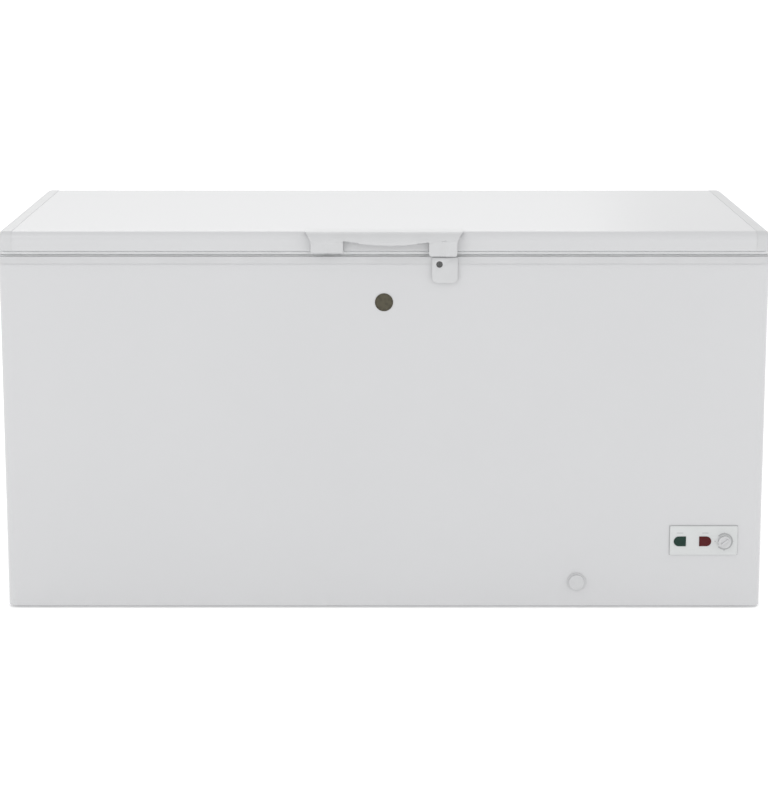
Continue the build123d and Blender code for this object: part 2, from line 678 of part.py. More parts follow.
def side_grille():
    """The vent grille on the machine room's side, with level slots."""
    (y0, z0), (y1, z1) = grille_window()
    centre = Pos((y0 + y1) / 2, (z0 + z1) / 2)
    plate = centre * RectangleRounded(y1 - y0 + 20, z1 - z0 + 20, 6)
    count = int((z1 - z0) // 14)
    for row in range(count):
        height = (row - (count - 1) / 2) * 14
        plate -= centre * Pos(0, height) * SlotOverall(y1 - y0 - 16, 6.5)
    return from_side(plate, HALF, HALF + 2.0)


def rear_cover():
    """The machine room's rear cover, with upright vent slots and the gland's hole."""
    left, right, bottom, top = cover_corners()
    centre = Pos((left + right) / 2, (bottom + top) / 2)
    plate = centre * RectangleRounded(right - left, top - bottom, 5)
    for column in range(9):
        across = (column - 3) * 19
        plate -= centre * Pos(across, 8) * Rot(0, 0, 90) * SlotOverall(110, 6)
    plate -= Pos(*gland_place()) * Circle(9)
    cover = from_front(plate, BACK, BACK + 1.0)
    return cover - screw_shanks()[1]


def gland_place():
    """The cord gland's centre in X and Z, in the rear cover's lower left corner."""
    left, right, bottom, top = cover_corners()
    return left + 32.0, bottom + 36.0


def cord_gland():
    """The rubber gland that the supply cord passes through."""
    place = gland_place()
    gland = bar("Y", place, 9, BACK, BACK + 1)
    gland += bar("Y", place, 12, BACK - 3, BACK)
    gland += bar("Y", place, 12, BACK + 1, BACK + 5)
    return gland - bar("Y", place, 4, BACK - 4, BACK + 6)


def cabinet_screws():
    """The screws in the cabinet's back: eight in the hinges and six in the rear cover."""
    hinge, cover = screw_shanks()
    screws = []
    for place, shank in zip(hinge_screw_places(), hinge):
        screws.append(shank + bar("Y", place, 4.5, BACK + EAR_SHEET, BACK + EAR_SHEET + 2.4))
    for place, shank in zip(cover_screw_places(), cover):
        screws.append(shank + bar("Y", place, 3.8, BACK + 1, BACK + 3))
    return group(screws)


# ---------------------------------------------------------------- controls
def control_panel():
    """The control panel's bezel, with its two lens holes and the thermostat's hole."""
    plate = Pos(PANEL_X, PANEL_Z) * RectangleRounded(*PANEL_SIZE, 3)
    for name, offset in LENS_OFFSETS.items():
        hole = lens_outline(RUNNING_CLEARANCE, name == "power_lens")
        plate -= Pos(PANEL_X + offset, CONTROLS_Z) * hole
    plate -= Pos(KNOB_X, CONTROLS_Z) * Circle(BUSH_RADIUS)
    return from_front(plate, FRONT - PANEL_THICKNESS, FRONT)


def lens(name):
    """One indicator lens, held behind the panel by its flange."""
    place = Pos(PANEL_X + LENS_OFFSETS[name], CONTROLS_Z)
    left_round = name == "power_lens"
    body = from_front(place * lens_outline(0, left_round), FRONT - PANEL_THICKNESS - LENS_PROUD, FRONT)
    return body + from_front(place * lens_outline(2, left_round), FRONT, FRONT + 1.5)


def indicator_board():
    """The board behind the panel, on four pillars, with one lamp behind each lens."""
    low = (PANEL_X - 62.0, CONTROLS_Z - 18.0)
    high = (PANEL_X + 18.0, CONTROLS_Z + 18.0)
    near = FRONT + 16.0
    board = block((low[0], near, low[1]), (high[0], near + 1.6, high[1]))
    inset = 1.9
    for x in (low[0] + inset, high[0] - inset):
        for z in (low[1] + inset, high[1] - inset):
            board += bar("Y", (x, z), 1.8, FRONT, near)
    for offset in LENS_OFFSETS.values():
        board += bar("Y", (PANEL_X + offset, CONTROLS_Z), 2.5, FRONT + 4.0, near)
    return board


def thermostat():
    """The thermostat's body behind the panel, with the bush that the knob's shaft turns in."""
    body = block((KNOB_X - 20, FRONT + 4, CONTROLS_Z - 16), (KNOB_X + 18, FRONT + 38, CONTROLS_Z + 18))
    body += bar("Y", (KNOB_X, CONTROLS_Z), BUSH_RADIUS, FRONT - PANEL_THICKNESS, FRONT + 4)
    return body - bar("Y", (KNOB_X, CONTROLS_Z), SHAFT_RADIUS + RUNNING_CLEARANCE / 2, FRONT - 4, FRONT + 22)


def thermostat_knob():
    """The thermostat's knob with its pointer ridge and its shaft."""
    back = FRONT - PANEL_THICKNESS - KNOB_GAP
    place = (KNOB_X, CONTROLS_Z)
    knob = bar("Y", place, KNOB_RADIUS, back - KNOB_HEIGHT * 0.6, back)
    knob = fillet(knob.edges().group_by(Axis.Y)[0], 1.2)
    ridge = Pos(KNOB_X, CONTROLS_Z) * SlotOverall(2 * KNOB_RADIUS - 3, 5)
    knob += from_front(Pos(0, 0) * ridge, back - KNOB_HEIGHT, back - 2)
    return knob + bar("Y", place, SHAFT_RADIUS, back, FRONT + 20)


def badge():
    """The plain round badge, slightly domed."""
    disc = bar("Y", (0, RIM_TOP - BADGE_BELOW_RIM), BADGE_RADIUS, FRONT - BADGE_THICKNESS, FRONT)
    return fillet(disc.edges().group_by(Axis.Y)[0], BADGE_THICKNESS * 0.7)


# ---------------------------------------------------------------- drain
def drain_tube():
    """The drain tube from the compartment's floor to the front, with its flange on the floor."""
    tube = drain_bar(DRAIN_TUBE_RADIUS)
    tube += bar("Z", (DRAIN_X, DRAIN_Y), DRAIN_TUBE_RADIUS + 7, CAVITY_FLOOR, CAVITY_FLOOR + 1.5)
    tube -= drain_bar(DRAIN_TUBE_BORE)
    return tube - bar("Z", (DRAIN_X, DRAIN_Y), DRAIN_TUBE_BORE, CAVITY_FLOOR - 1, CAVITY_FLOOR + 2)


def drain_bezel():
    """The drain's front flange and the sleeve that the spout slides in."""
    place = (DRAIN_X, DRAIN_Z)
    bezel = bar("Y", place, DRAIN_FLANGE_RADIUS, FRONT - DRAIN_FLANGE, FRONT)
    bezel += bar("Y", place, SPOUT_RADIUS + SLEEVE_WALL, FRONT, FRONT + 30)
    return bezel - bar("Y", place, SPOUT_RADIUS + RUNNING_CLEARANCE, FRONT - 5, FRONT + 31)


def drain_spout():
    """The spout that pulls out over the drain tube's end."""
    place = (DRAIN_X, DRAIN_Z)
    front = FRONT - DRAIN_FLANGE - 0.5
    spout = bar("Y", place, SPOUT_RADIUS, front, front + SPOUT_LENGTH)
    return spout - bar("Y", place, DRAIN_TUBE_RADIUS + RUNNING_CLEARANCE, front - 1, front + SPOUT_LENGTH + 1)


def drain_cap():
    """The cap that closes the spout, with a grip rib."""
    place = (DRAIN_X, DRAIN_Z)
    back = FRONT - DRAIN_FLANGE - 0.5 - REST_CLEARANCE
    cap = bar("Y", place, CAP_RADIUS, back - CAP_THICKNESS, back)
    cap = fillet(cap.edges().group_by(Axis.Y)[0], 1.0)
    cap += bar("Y", place, DRAIN_TUBE_RADIUS, back, back + 6)
    grip = Pos(*place) * SlotOverall(22, 3.5)
    return cap + from_front(grip, back - CAP_THICKNESS - 1.5, back - 1)


def drain_plug():
    """The plug in the compartment's floor drain."""
    place = (DRAIN_X, DRAIN_Y)
    seat = CAVITY_FLOOR + 1.5 + REST_CLEARANCE
    plug = bar("Z", place, PLUG_HEAD_RADIUS, seat, seat + PLUG_HEAD_HEIGHT)
    return plug + bar("Z", place, DRAIN_TUBE_BORE - RUNNING_CLEARANCE, seat - 10, seat)


# ---------------------------------------------------------------- lock
def lock_housing():
    """The lock's cover on the front, and the sleeve that holds its barrel."""
    left, right = LOCK_X - LOCK_PLATE_LEFT, LOCK_X + LOCK_PLATE_RIGHT
    bottom = LOCK_TOP - LOCK_PLATE_HEIGHT
    front = FRONT - LOCK_PLATE_DEPTH
    outline = Pos((left + right) / 2, (bottom + LOCK_TOP) / 2) * Rectangle(right - left, LOCK_PLATE_HEIGHT)
    outline = fillet(outline.vertices().group_by(Axis.Y)[0], LOCK_PLATE_CORNER)
    cover = from_front(outline, front, FRONT)
    wall = LOCK_PLATE_WALL
    hollow = Pos((left + right) / 2, (bottom + LOCK_TOP) / 2 + wall)
    hollow = hollow * Rectangle(right - left - 2 * wall, LOCK_PLATE_HEIGHT)
    hollow = fillet(hollow.vertices().group_by(Axis.Y)[0], LOCK_PLATE_CORNER - wall)
    cover -= from_front(hollow, front + wall, FRONT + 1)
    cover -= block((left - 1, FRONT - BAND_PROUD, BAND_BOTTOM), (right + 1, FRONT + 1, RIM_TOP))
    bore = bar("Y", (LOCK_X, LOCK_Z), BARREL_RADIUS + RUNNING_CLEARANCE, front - 1, FRONT + SLEEVE_LENGTH + 1)
    return group([cover - bore, lock_sleeve_hole() - bore])


def lock_cylinder():
    """The lock's barrel with its key slot."""
    front = FRONT - LOCK_PLATE_DEPTH + 0.6
    barrel = bar("Y", (LOCK_X, LOCK_Z), BARREL_RADIUS, front, FRONT + SLEEVE_LENGTH - 2)
    return barrel - block((LOCK_X - 0.9, front - 1, LOCK_Z - 4), (LOCK_X + 0.9, front + 8, LOCK_Z + 4))


def lock_cam():
    """The hook on the barrel, unlocked: its arm points down and right, and its hook lies level."""
    reach = hypot(*LOCK_TO_KEEPER) + KEEPER_RADIUS + 0.6
    outer = reach + CAM_HOOK
    start, end = radians(-45), radians(-10)
    middle = (start + end) / 2

    def at(radius, angle):
        """A point at a radius and an angle from the barrel's axis."""
        return radius * cos(angle), radius * sin(angle)

    hook = make_face(
        [
            ThreePointArc(at(outer, start), at(outer, middle), at(outer, end)).edge(),
            Line(at(outer, end), at(reach, end)).edge(),
            ThreePointArc(at(reach, end), at(reach, middle), at(reach, start)).edge(),
            Line(at(reach, start), at(outer, start)).edge(),
        ]
    )
    arm = Rot(0, 0, -45) * Pos(outer / 2 - 0.2, 0) * Rectangle(outer - 1.5, 8)
    outline = Pos(LOCK_X, LOCK_Z) * (hook + arm + Circle(CAM_HUB))
    cam = from_front(outline, CAM_BACK - CAM_THICKNESS, CAM_BACK)
    return cam - bar("Y", (LOCK_X, LOCK_Z), BARREL_RADIUS + PRESS_CLEARANCE, CAM_BACK - 5, CAM_BACK + 5)


# ---------------------------------------------------------------- hinges
def hinge_base(x):
    """One hinge base on the back: a channel with two ears, two flanges and the spring's seat."""
    half = CHANNEL_WIDTH / 2
    shoulder = PIVOT_Z - EAR_RADIUS
    low, high = HINGE_BASE_BOTTOM, shoulder
    ear = Pos(BACK + HINGE_DEPTH / 2, (low + high) / 2) * Rectangle(HINGE_DEPTH, high - low)
    ear += Pos(PIVOT_Y, (shoulder + PIVOT_Z) / 2) * Rectangle(2 * EAR_RADIUS, PIVOT_Z - shoulder)
    ear += Pos(PIVOT_Y, PIVOT_Z) * Circle(EAR_RADIUS)
    ear -= Pos(PIVOT_Y, PIVOT_Z) * Circle(PIN_RADIUS + PRESS_CLEARANCE)
    left = x - half - EAR_SHEET
    right = x + half + EAR_SHEET
    base = from_side(ear, left, left + EAR_SHEET) + from_side(ear, right - EAR_SHEET, right)
    rear = BACK + HINGE_DEPTH
    base += block((left, rear - EAR_SHEET, low), (right, rear, PIVOT_Z - WEB_DROP))
    base += block((left, BACK, low), (right, rear, low + EAR_SHEET))
    base += block((left - FLANGE_WIDTH, BACK, low), (left, BACK + EAR_SHEET, high))
    base += block((right, BACK, low), (right + FLANGE_WIDTH, BACK + EAR_SHEET, high))
    base += bar("Z", (x, spring_y()), SPIGOT_RADIUS, low + EAR_SHEET, low + EAR_SHEET + SPIGOT_LENGTH)
    return base - screw_shanks()[0]


def spring_y():
    """The depth of the spring's centre, in the middle of the channel."""
    return BACK + (HINGE_DEPTH - EAR_SHEET) / 2


def hinge_pin(x):
    """One hinge pin, with a head at each end outside the ears."""
    half = CHANNEL_WIDTH / 2 + EAR_SHEET
    pin = bar("X", (PIVOT_Y, PIVOT_Z), PIN_RADIUS, x - half, x + half)
    pin += bar("X", (PIVOT_Y, PIVOT_Z), PIN_RADIUS + 2.5, x - half - 2.5, x - half)
    return pin + bar("X", (PIVOT_Y, PIVOT_Z), PIN_RADIUS + 2.5, x + half, x + half + 2.5)


def cam_point(degrees):
    """A point on the lid cam's edge, whose height over the plunger falls evenly as the lid opens."""
    turn = radians(degrees)
    height = CAM_HEIGHT - CAM_RATE * turn
    facing = turn - pi / 2
    y = height * cos(facing) + CAM_RATE * sin(facing)
    z = height * sin(facing) - CAM_RATE * cos(facing)
    return y, z


def hinge_leaf(x):
    """One hinge leaf: the plate on the lid's back, and the arm whose cam presses the plunger."""
    plate_y = leaf_face() + LEAF_PLATE - PIVOT_Y
    top = LID_BOTTOM + 23.0 - PIVOT_Z
    bottom = LID_BOTTOM + 2.0 - PIVOT_Z
    hub = PIN_RADIUS * 2
    steps = 8
    curve = [cam_point(LID_SWING * step / steps) for step in range(steps + 1)]
    corners = [curve[-1], (hub, 0), (0, hub), (plate_y, top), (plate_y, bottom), (-13, -4), curve[0]]
    edges = [Spline(*curve).edge()]
    edges += [Line(a, b).edge() for a, b in zip(corners, corners[1:])]
    outline = make_face(edges) + Circle(hub)
    outline -= Circle(PIN_RADIUS + RUNNING_CLEARANCE)
    half = LEAF_ARM_WIDTH / 2
    arm = from_side(Pos(PIVOT_Y, PIVOT_Z) * outline, x - half, x + half)
    low = (x - LEAF_WIDTH / 2, leaf_face(), PIVOT_Z + bottom)
    plate = block(low, (x + LEAF_WIDTH / 2, leaf_face() + LEAF_PLATE, PIVOT_Z + top))
    return arm + plate - leaf_shanks()


def spring_plunger(x):
    """The sliding block between the spring and the lid's cam."""
    half = CHANNEL_WIDTH / 2 - PLUNGER_CLEARANCE
    y = spring_y()
    underside = PLUNGER_TOP - PLUNGER_HEIGHT
    body = block((x - half, y - PLUNGER_DEPTH / 2, underside), (x + half, y + PLUNGER_DEPTH / 2, PLUNGER_TOP))
    return body + bar("Z", (x, y), SPIGOT_RADIUS, underside - SPIGOT_LENGTH, underside)


def hinge_spring(x):
    """One compression spring, from the base's seat to the plunger's underside."""
    low = HINGE_BASE_BOTTOM + EAR_SHEET + SPRING_WIRE + REST_CLEARANCE
    high = PLUNGER_TOP - PLUNGER_HEIGHT - SPRING_WIRE - REST_CLEARANCE
    path = Helix((high - low) / SPRING_TURNS, high - low, SPRING_RADIUS)
    section = Plane(origin=path @ 0, z_dir=path % 0) * Circle(SPRING_WIRE)
    return Pos(x, spring_y(), low) * sweep(section, path=path, is_frenet=True)


def hinge_leaf_screws():
    """Eight screws that hold both leaves to the lid."""
    outer = leaf_face() + LEAF_PLATE
    heads = [bar("Y", place, 4.2, outer, outer + 2.2) for place in leaf_screw_places()]
    return group(shank + head for shank, head in zip(leaf_shanks(), heads))


# ---------------------------------------------------------------- lid pieces
def lid_shell(inset):
    """The lid's open-bottomed shell, from a face inset down to the common wall line."""
    return lid_block(inset, LID_BOTTOM) - lid_block(LID_WALL, LID_BOTTOM - 1)


def lid_skin():
    """The lid's long steel skin, between its two end caps."""
    edge = LID_HALF - LID_CAP_WIDTH
    skin = lid_shell(LID_SKIN_INSET) & block((-edge, LID_FRONT - 1, 0), (edge, LID_REAR + 1, LID_TOP))
    return skin - leaf_shanks()


def lid_end_cap(side):
    """One moulded end cap of the lid: side is -1 on the left and 1 on the right."""
    inner = LID_HALF - LID_CAP_WIDTH
    near, far = sorted((side * inner, side * (LID_HALF + 1)))
    return lid_shell(0) & block((near, LID_FRONT - 1, 0), (far, LID_REAR + 1, LID_TOP))


def plateau_plan(inset):
    """The plan of the lid liner's raised middle, which reaches into the rim."""
    return cavity_plan(-LIP_THICKNESS - PLATEAU_CLEARANCE - inset)


def lamp_corners():
    """The lamp's left, right, front and back."""
    return -70.0, 70.0, CAVITY_FRONT + 74.0, CAVITY_FRONT + 124.0


def lamp_block():
    """The lamp housing's outer form."""
    left, right, front, back = lamp_corners()
    low = LID_BOTTOM - PLATEAU_DROP
    return block((left, front, low), (right, back, low + 14.0))


def lid_foam():
    """The lid's foam, down into the liner's raised middle."""
    foam = lid_block(LID_WALL, LID_BOTTOM + LID_LINER)
    foam += raised(plateau_plan(LID_LINER), LID_BOTTOM - PLATEAU_DROP + LID_LINER, LID_BOTTOM + LID_LINER)
    return foam - lamp_block() - leaf_shanks()


def lid_liner():
    """The lid's inner lining, with a raised middle."""
    width = 2 * (LID_HALF - LID_WALL)
    depth = LID_REAR - LID_FRONT - 2 * LID_WALL
    plan = Pos(0, (LID_REAR + LID_FRONT) / 2) * RectangleRounded(width, depth, LID_CORNER - LID_WALL)
    low = LID_BOTTOM - PLATEAU_DROP
    liner = raised(plan, LID_BOTTOM, LID_BOTTOM + LID_LINER)
    liner += raised(plateau_plan(0), low, LID_BOTTOM + LID_LINER)
    liner -= raised(plateau_plan(LID_LINER), low + LID_LINER, LID_BOTTOM + LID_LINER)
    return liner - lamp_block()


def lid_gasket():
    """The lid's soft seal: three stacked steps round the whole rim."""
    bottom = RIM_TOP + SEAL_CLEARANCE
    high = LID_BOTTOM
    gasket = None
    for outer, inner, share in GASKET_RINGS:
        low = LID_BOTTOM - share * (LID_BOTTOM - bottom)
        ring = raised(cabinet_plan(outer, outer) - cabinet_plan(inner, inner), low, high)
        gasket = ring if gasket is None else gasket + ring
        high = low
    return gasket


def lamp_housing():
    """The lamp's tray in the lid liner."""
    left, right, front, back = lamp_corners()
    low = LID_BOTTOM - PLATEAU_DROP
    return lamp_block() - block((left + 2, front + 2, low - 1), (right - 2, back - 2, low + 12.0))


def lamp_lens():
    """The lamp's clear cover."""
    left, right, front, back = lamp_corners()
    low = LID_BOTTOM - PLATEAU_DROP
    gap = 2.0 + REST_CLEARANCE / 2
    return block((left + gap, front + gap, low), (right - gap, back - gap, low + 2.5))


def handle_front_outline():
    """The handle seen from the front: a bar that sags a little between two legs."""
    top = LID_TOP + 1
    shoulder = LID_TOP - 25.0
    left_foot = LID_BOTTOM - LEFT_LEG_DROP
    right_foot = LID_BOTTOM - RIGHT_LEG_DROP
    left_bar = (LEFT_LEG_EDGE, LID_TOP - 17.0)
    right_bar = (RIGHT_LEG_EDGE, LID_TOP - 20.0)
    bar_middle = ((LEFT_LEG_EDGE + RIGHT_LEG_EDGE) / 2, LID_TOP - 28.5)
    left_turn = (-(HANDLE_HALF + 4.0), LID_TOP - 11.0)
    right_turn = (HANDLE_HALF + 4.0, LID_TOP - 11.0)
    corner = 5.0
    edges = [
        Line((HANDLE_TOP_HALF, top), (-HANDLE_TOP_HALF, top)),
        ThreePointArc((-HANDLE_TOP_HALF, top), left_turn, (-HANDLE_HALF, shoulder)),
        Line((-HANDLE_HALF, shoulder), (-HANDLE_HALF, left_foot + corner)),
        RadiusArc((-HANDLE_HALF, left_foot + corner), (-HANDLE_HALF + corner, left_foot), -corner),
        Line((-HANDLE_HALF + corner, left_foot), (LEFT_LEG_EDGE, left_foot)),
        Line((LEFT_LEG_EDGE, left_foot), left_bar),
        ThreePointArc(left_bar, bar_middle, right_bar),
        Line(right_bar, (RIGHT_LEG_EDGE, right_foot + corner)),
        RadiusArc((RIGHT_LEG_EDGE, right_foot + corner), (RIGHT_LEG_EDGE + corner, right_foot), -corner),
        Line((RIGHT_LEG_EDGE + corner, right_foot), (HANDLE_HALF - corner, right_foot)),
        RadiusArc((HANDLE_HALF - corner, right_foot), (HANDLE_HALF, right_foot + corner), -corner),
        Line((HANDLE_HALF, right_foot + corner), (HANDLE_HALF, shoulder)),
        ThreePointArc((HANDLE_HALF, shoulder), right_turn, (HANDLE_TOP_HALF, top)),
    ]
    return make_face([edge.edge() for edge in edges])


def handle_side_outline(inset):
    """The handle seen from its side: over the lid's top, round the edge and down its front."""
    front = LID_FRONT - HANDLE_REACH + inset
    rear = LID_FRONT + HANDLE_OVERLAP
    top = LID_TOP - inset
    bend_top = (LID_FRONT + 2.0, top)
    bend_low = (front, LID_TOP - 22.0)
    bend = (LID_FRONT - HANDLE_REACH * 0.66 + inset * 0.7, LID_TOP - 6.2 - inset * 0.7)
    foot_z = LID_BOTTOM - RIGHT_LEG_DROP - 1.0
    foot = (LID_FRONT - HANDLE_REACH * 0.55 + inset, foot_z)
    edges = [
        Line((rear, LID_TOP - LID_HEIGHT / 2), (rear, LID_TOP - LID_SKIN_INSET - 0.1)),
        Line((rear, LID_TOP - LID_SKIN_INSET - 0.1), (rear - 6.0, top)),
        Line((rear - 6.0, top), bend_top),
        ThreePointArc(bend_top, bend, bend_low),
        Line(bend_low, foot),
        Line(foot, (LID_FRONT, foot_z)),
        Line((LID_FRONT, foot_z), (LID_FRONT, LID_TOP - LID_HEIGHT / 2)),
        Line((LID_FRONT, LID_TOP - LID_HEIGHT / 2), (rear, LID_TOP - LID_HEIGHT / 2)),
    ]
    return make_face([edge.edge() for edge in edges])


def lid_handle():
    """The moulded handle over the lid's front edge, hollow behind its bar for the fingers."""
    front = LID_FRONT - HANDLE_REACH
    handle = from_front(handle_front_outline(), front - 1, LID_FRONT + HANDLE_OVERLAP + 1)
    handle &= from_side(handle_side_outline(0), -HANDLE_TOP_HALF - 1, HANDLE_TOP_HALF + 1)
    low = (LEFT_LEG_EDGE, front + HANDLE_WALL, LID_BOTTOM - 20.0)
    high = (RIGHT_LEG_EDGE, LID_FRONT, LID_TOP - 12.0)
    handle -= block(low, high)
    handle -= lid_block(LID_SKIN_INSET, LID_BOTTOM - 20.0)
    return handle - bar("Y", (KEEPER_X, KEEPER_Z), KEEPER_RADIUS, LID_FRONT - 7, LID_FRONT + 1)


def latch_keeper():
    """The pin in the handle's right leg that the lock's hook catches."""
    back = FRONT - BAND_PROUD - 0.6
    pin = bar("Y", (KEEPER_X, KEEPER_Z), KEEPER_RADIUS, LID_FRONT - 7, back)
    return pin + bar("Y", (KEEPER_X, KEEPER_Z), KEEPER_RADIUS + 1.5, LID_FRONT, LID_FRONT + 1.2)


# ---------------------------------------------------------------- baskets and feet
def grid(width, height, across, up):
    """A flat grid of square bars, centred on zero: a plate with windows."""
    plate = Rectangle(width, height)
    window = ((width - BASKET_BAR) / across - BASKET_BAR, (height - BASKET_BAR) / up - BASKET_BAR)
    for i in range(across):
        for j in range(up):
            x = (i - (across - 1) / 2) * (window[0] + BASKET_BAR)
            y = (j - (up - 1) / 2) * (window[1] + BASKET_BAR)
            plate -= Pos(x, y) * Rectangle(*window)
    return plate


def basket(left):
    """One hanging basket: five flat grids and the two strips that rest on the ledge."""
    near = CAVITY_FRONT + LIP_THICKNESS + BASKET_LIP_GAP
    far = CAVITY_BACK - LIP_THICKNESS - BASKET_LIP_GAP
    right = left + BASKET_WIDTH
    top = LEDGE_TOP + REST_CLEARANCE
    low = top - BASKET_HEIGHT
    rim = top - LEDGE_DROP
    depth = far - near
    x = (left + right) / 2
    across = round(BASKET_WIDTH / BASKET_PITCH)
    along = round(depth / BASKET_PITCH)
    up = round((rim - low) / BASKET_PITCH)
    front = Pos(x, (low + top) / 2) * grid(BASKET_WIDTH, top - low, across, up)
    floor = Pos(x, (near + far) / 2) * grid(BASKET_WIDTH, depth - 2 * BASKET_BAR, across, along)
    end = Pos((near + far) / 2, (low + BASKET_BAR + rim) / 2)
    end = end * grid(depth - 2 * BASKET_BAR, rim - low - BASKET_BAR, along, up)
    lap = HANGER_LAP + BASKET_LIP_GAP
    solids = [
        from_front(front, near, near + BASKET_BAR),
        from_front(front, far - BASKET_BAR, far),
        raised(floor, low, low + BASKET_BAR),
        from_side(end, left, left + BASKET_BAR),
        from_side(end, right - BASKET_BAR, right),
        block((left, near - lap, top), (right, near + BASKET_BAR, top + HANGER_THICKNESS)),
        block((left, far - BASKET_BAR, top), (right, far + lap, top + HANGER_THICKNESS)),
    ]
    return group(solids)


def foot(place):
    """One levelling foot: a round pad with its threaded stud."""
    pad = bar("Z", place, FOOT_RADIUS, 0, FOOT_HEIGHT)
    pad = fillet(pad.edges().group_by(Axis.Z)[0], 1.5)
    return pad + bar("Z", place, STUD_RADIUS, FOOT_HEIGHT, FOOT_HEIGHT + STUD_LENGTH)


# ---------------------------------------------------------------- every node
def nodes():
    """Every node's name with the function that makes it."""
    left_hinge, right_hinge = HINGE_XS
    inner_left = -CAVITY_HALF + LINER_CORNER + BASKET_CORNER_GAP
    pieces = {
        "outer_wrap": outer_wrap,
        "back_panel": back_panel,
        "base_pan": base_pan,
        "inner_liner": inner_liner,
        "foam_insulation": foam_insulation,
        "top_frame": top_frame,
        "evaporator_coil": evaporator_coil,
        "condenser_coil": condenser_coil,
        "compressor_tray": compressor_tray,
        "compressor_grommets": compressor_grommets,
        "compressor_bolts": compressor_bolts,
        "compressor_lower": compressor_lower,
        "compressor_upper": compressor_upper,
        "terminal_cover": terminal_cover,
        "filter_dryer": filter_dryer,
        "refrigerant_pipes": refrigerant_pipes,
        "side_grille": side_grille,
        "rear_cover": rear_cover,
        "cord_gland": cord_gland,
        "cabinet_screws": cabinet_screws,
        "control_panel": control_panel,
        "power_lens": lambda: lens("power_lens"),
        "alarm_lens": lambda: lens("alarm_lens"),
        "indicator_board": indicator_board,
        "thermostat": thermostat,
        "thermostat_knob": thermostat_knob,
        "badge": badge,
        "drain_tube": drain_tube,
        "drain_bezel": drain_bezel,
        "drain_spout": drain_spout,
        "drain_cap": drain_cap,
        "drain_plug": drain_plug,
        "lock_housing": lock_housing,
        "lock_cylinder": lock_cylinder,
        "lock_cam": lock_cam,
        "hinge_bases": lambda: group(hinge_base(x) for x in HINGE_XS),
        "hinge_pins": lambda: group(hinge_pin(x) for x in HINGE_XS),
        "hinge_leaf_left": lambda: hinge_leaf(left_hinge),
        "hinge_leaf_right": lambda: hinge_leaf(right_hinge),
        "hinge_leaf_screws": hinge_leaf_screws,
        "spring_plunger_left": lambda: spring_plunger(left_hinge),
        "spring_plunger_right": lambda: spring_plunger(right_hinge),
        "hinge_spring_left": lambda: hinge_spring(left_hinge),
        "hinge_spring_right": lambda: hinge_spring(right_hinge),
        "lid_skin": lid_skin,
        "lid_end_cap_left": lambda: lid_end_cap(-1),
        "lid_end_cap_right": lambda: lid_end_cap(1),
        "lid_foam": lid_foam,
        "lid_liner": lid_liner,
        "lid_gasket": lid_gasket,
        "lamp_housing": lamp_housing,
        "lamp_lens": lamp_lens,
        "lid_handle": lid_handle,
        "latch_keeper": latch_keeper,
        "basket_left": lambda: basket(inner_left),
        "basket_right": lambda: basket(-inner_left - BASKET_WIDTH),
    }
    for name, place in FOOT_PLACES.items():
        pieces[name] = lambda place=place: foot(place)
    return pieces


os.makedirs("parts", exist_ok=True)
for node, make in nodes().items():
    export_step(make(), f"parts/{node}.step")
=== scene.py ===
"""Looks of a wide chest freezer: a finish for every frame piece, and finer shapes where the frame is plain.

Every finer shape takes its place and size from the frame's own nodes. Lengths are in metres, and values
whose names end in _mm are in millimetres.
"""

import json
import logging
import math
from dataclasses import dataclass
from enum import Enum
from typing import Iterable, Optional, Sequence, Union

import bmesh
import bpy
from mathutils import Matrix, Vector

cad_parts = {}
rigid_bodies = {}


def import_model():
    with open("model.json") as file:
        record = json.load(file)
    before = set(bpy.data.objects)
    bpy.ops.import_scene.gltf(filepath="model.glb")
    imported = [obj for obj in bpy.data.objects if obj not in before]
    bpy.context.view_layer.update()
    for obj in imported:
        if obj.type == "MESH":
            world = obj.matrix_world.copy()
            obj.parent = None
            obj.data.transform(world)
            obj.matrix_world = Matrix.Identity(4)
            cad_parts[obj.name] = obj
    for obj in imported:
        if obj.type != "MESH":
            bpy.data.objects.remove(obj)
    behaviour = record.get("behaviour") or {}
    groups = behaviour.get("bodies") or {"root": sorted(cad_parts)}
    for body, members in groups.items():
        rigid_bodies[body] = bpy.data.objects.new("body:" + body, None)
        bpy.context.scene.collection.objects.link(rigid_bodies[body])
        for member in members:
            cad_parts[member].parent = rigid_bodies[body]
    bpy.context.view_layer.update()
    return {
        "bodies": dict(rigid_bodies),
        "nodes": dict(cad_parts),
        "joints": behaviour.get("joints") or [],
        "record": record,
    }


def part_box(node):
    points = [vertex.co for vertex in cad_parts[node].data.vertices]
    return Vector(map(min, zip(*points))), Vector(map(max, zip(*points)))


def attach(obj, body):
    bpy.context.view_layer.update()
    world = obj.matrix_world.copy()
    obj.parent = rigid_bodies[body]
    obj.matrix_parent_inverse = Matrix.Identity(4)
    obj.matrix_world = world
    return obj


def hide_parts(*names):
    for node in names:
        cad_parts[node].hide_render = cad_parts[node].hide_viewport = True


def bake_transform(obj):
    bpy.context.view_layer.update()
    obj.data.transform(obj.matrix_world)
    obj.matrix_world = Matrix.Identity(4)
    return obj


MM = 0.001
SEED = 11
log = logging.getLogger("chest_freezer")

Colour = tuple[float, float, float]
Number = Union[float, "Wire"]
Box = tuple[Vector, Vector]
Profile = tuple[tuple[float, float], ...]

FRONTWARD = (0.0, -1.0, 0.0)
BACKWARD = (0.0, 1.0, 0.0)
UPWARD = (0.0, 0.0, 1.0)
WELD = 0.01 * MM
SEAM = 0.001 * MM


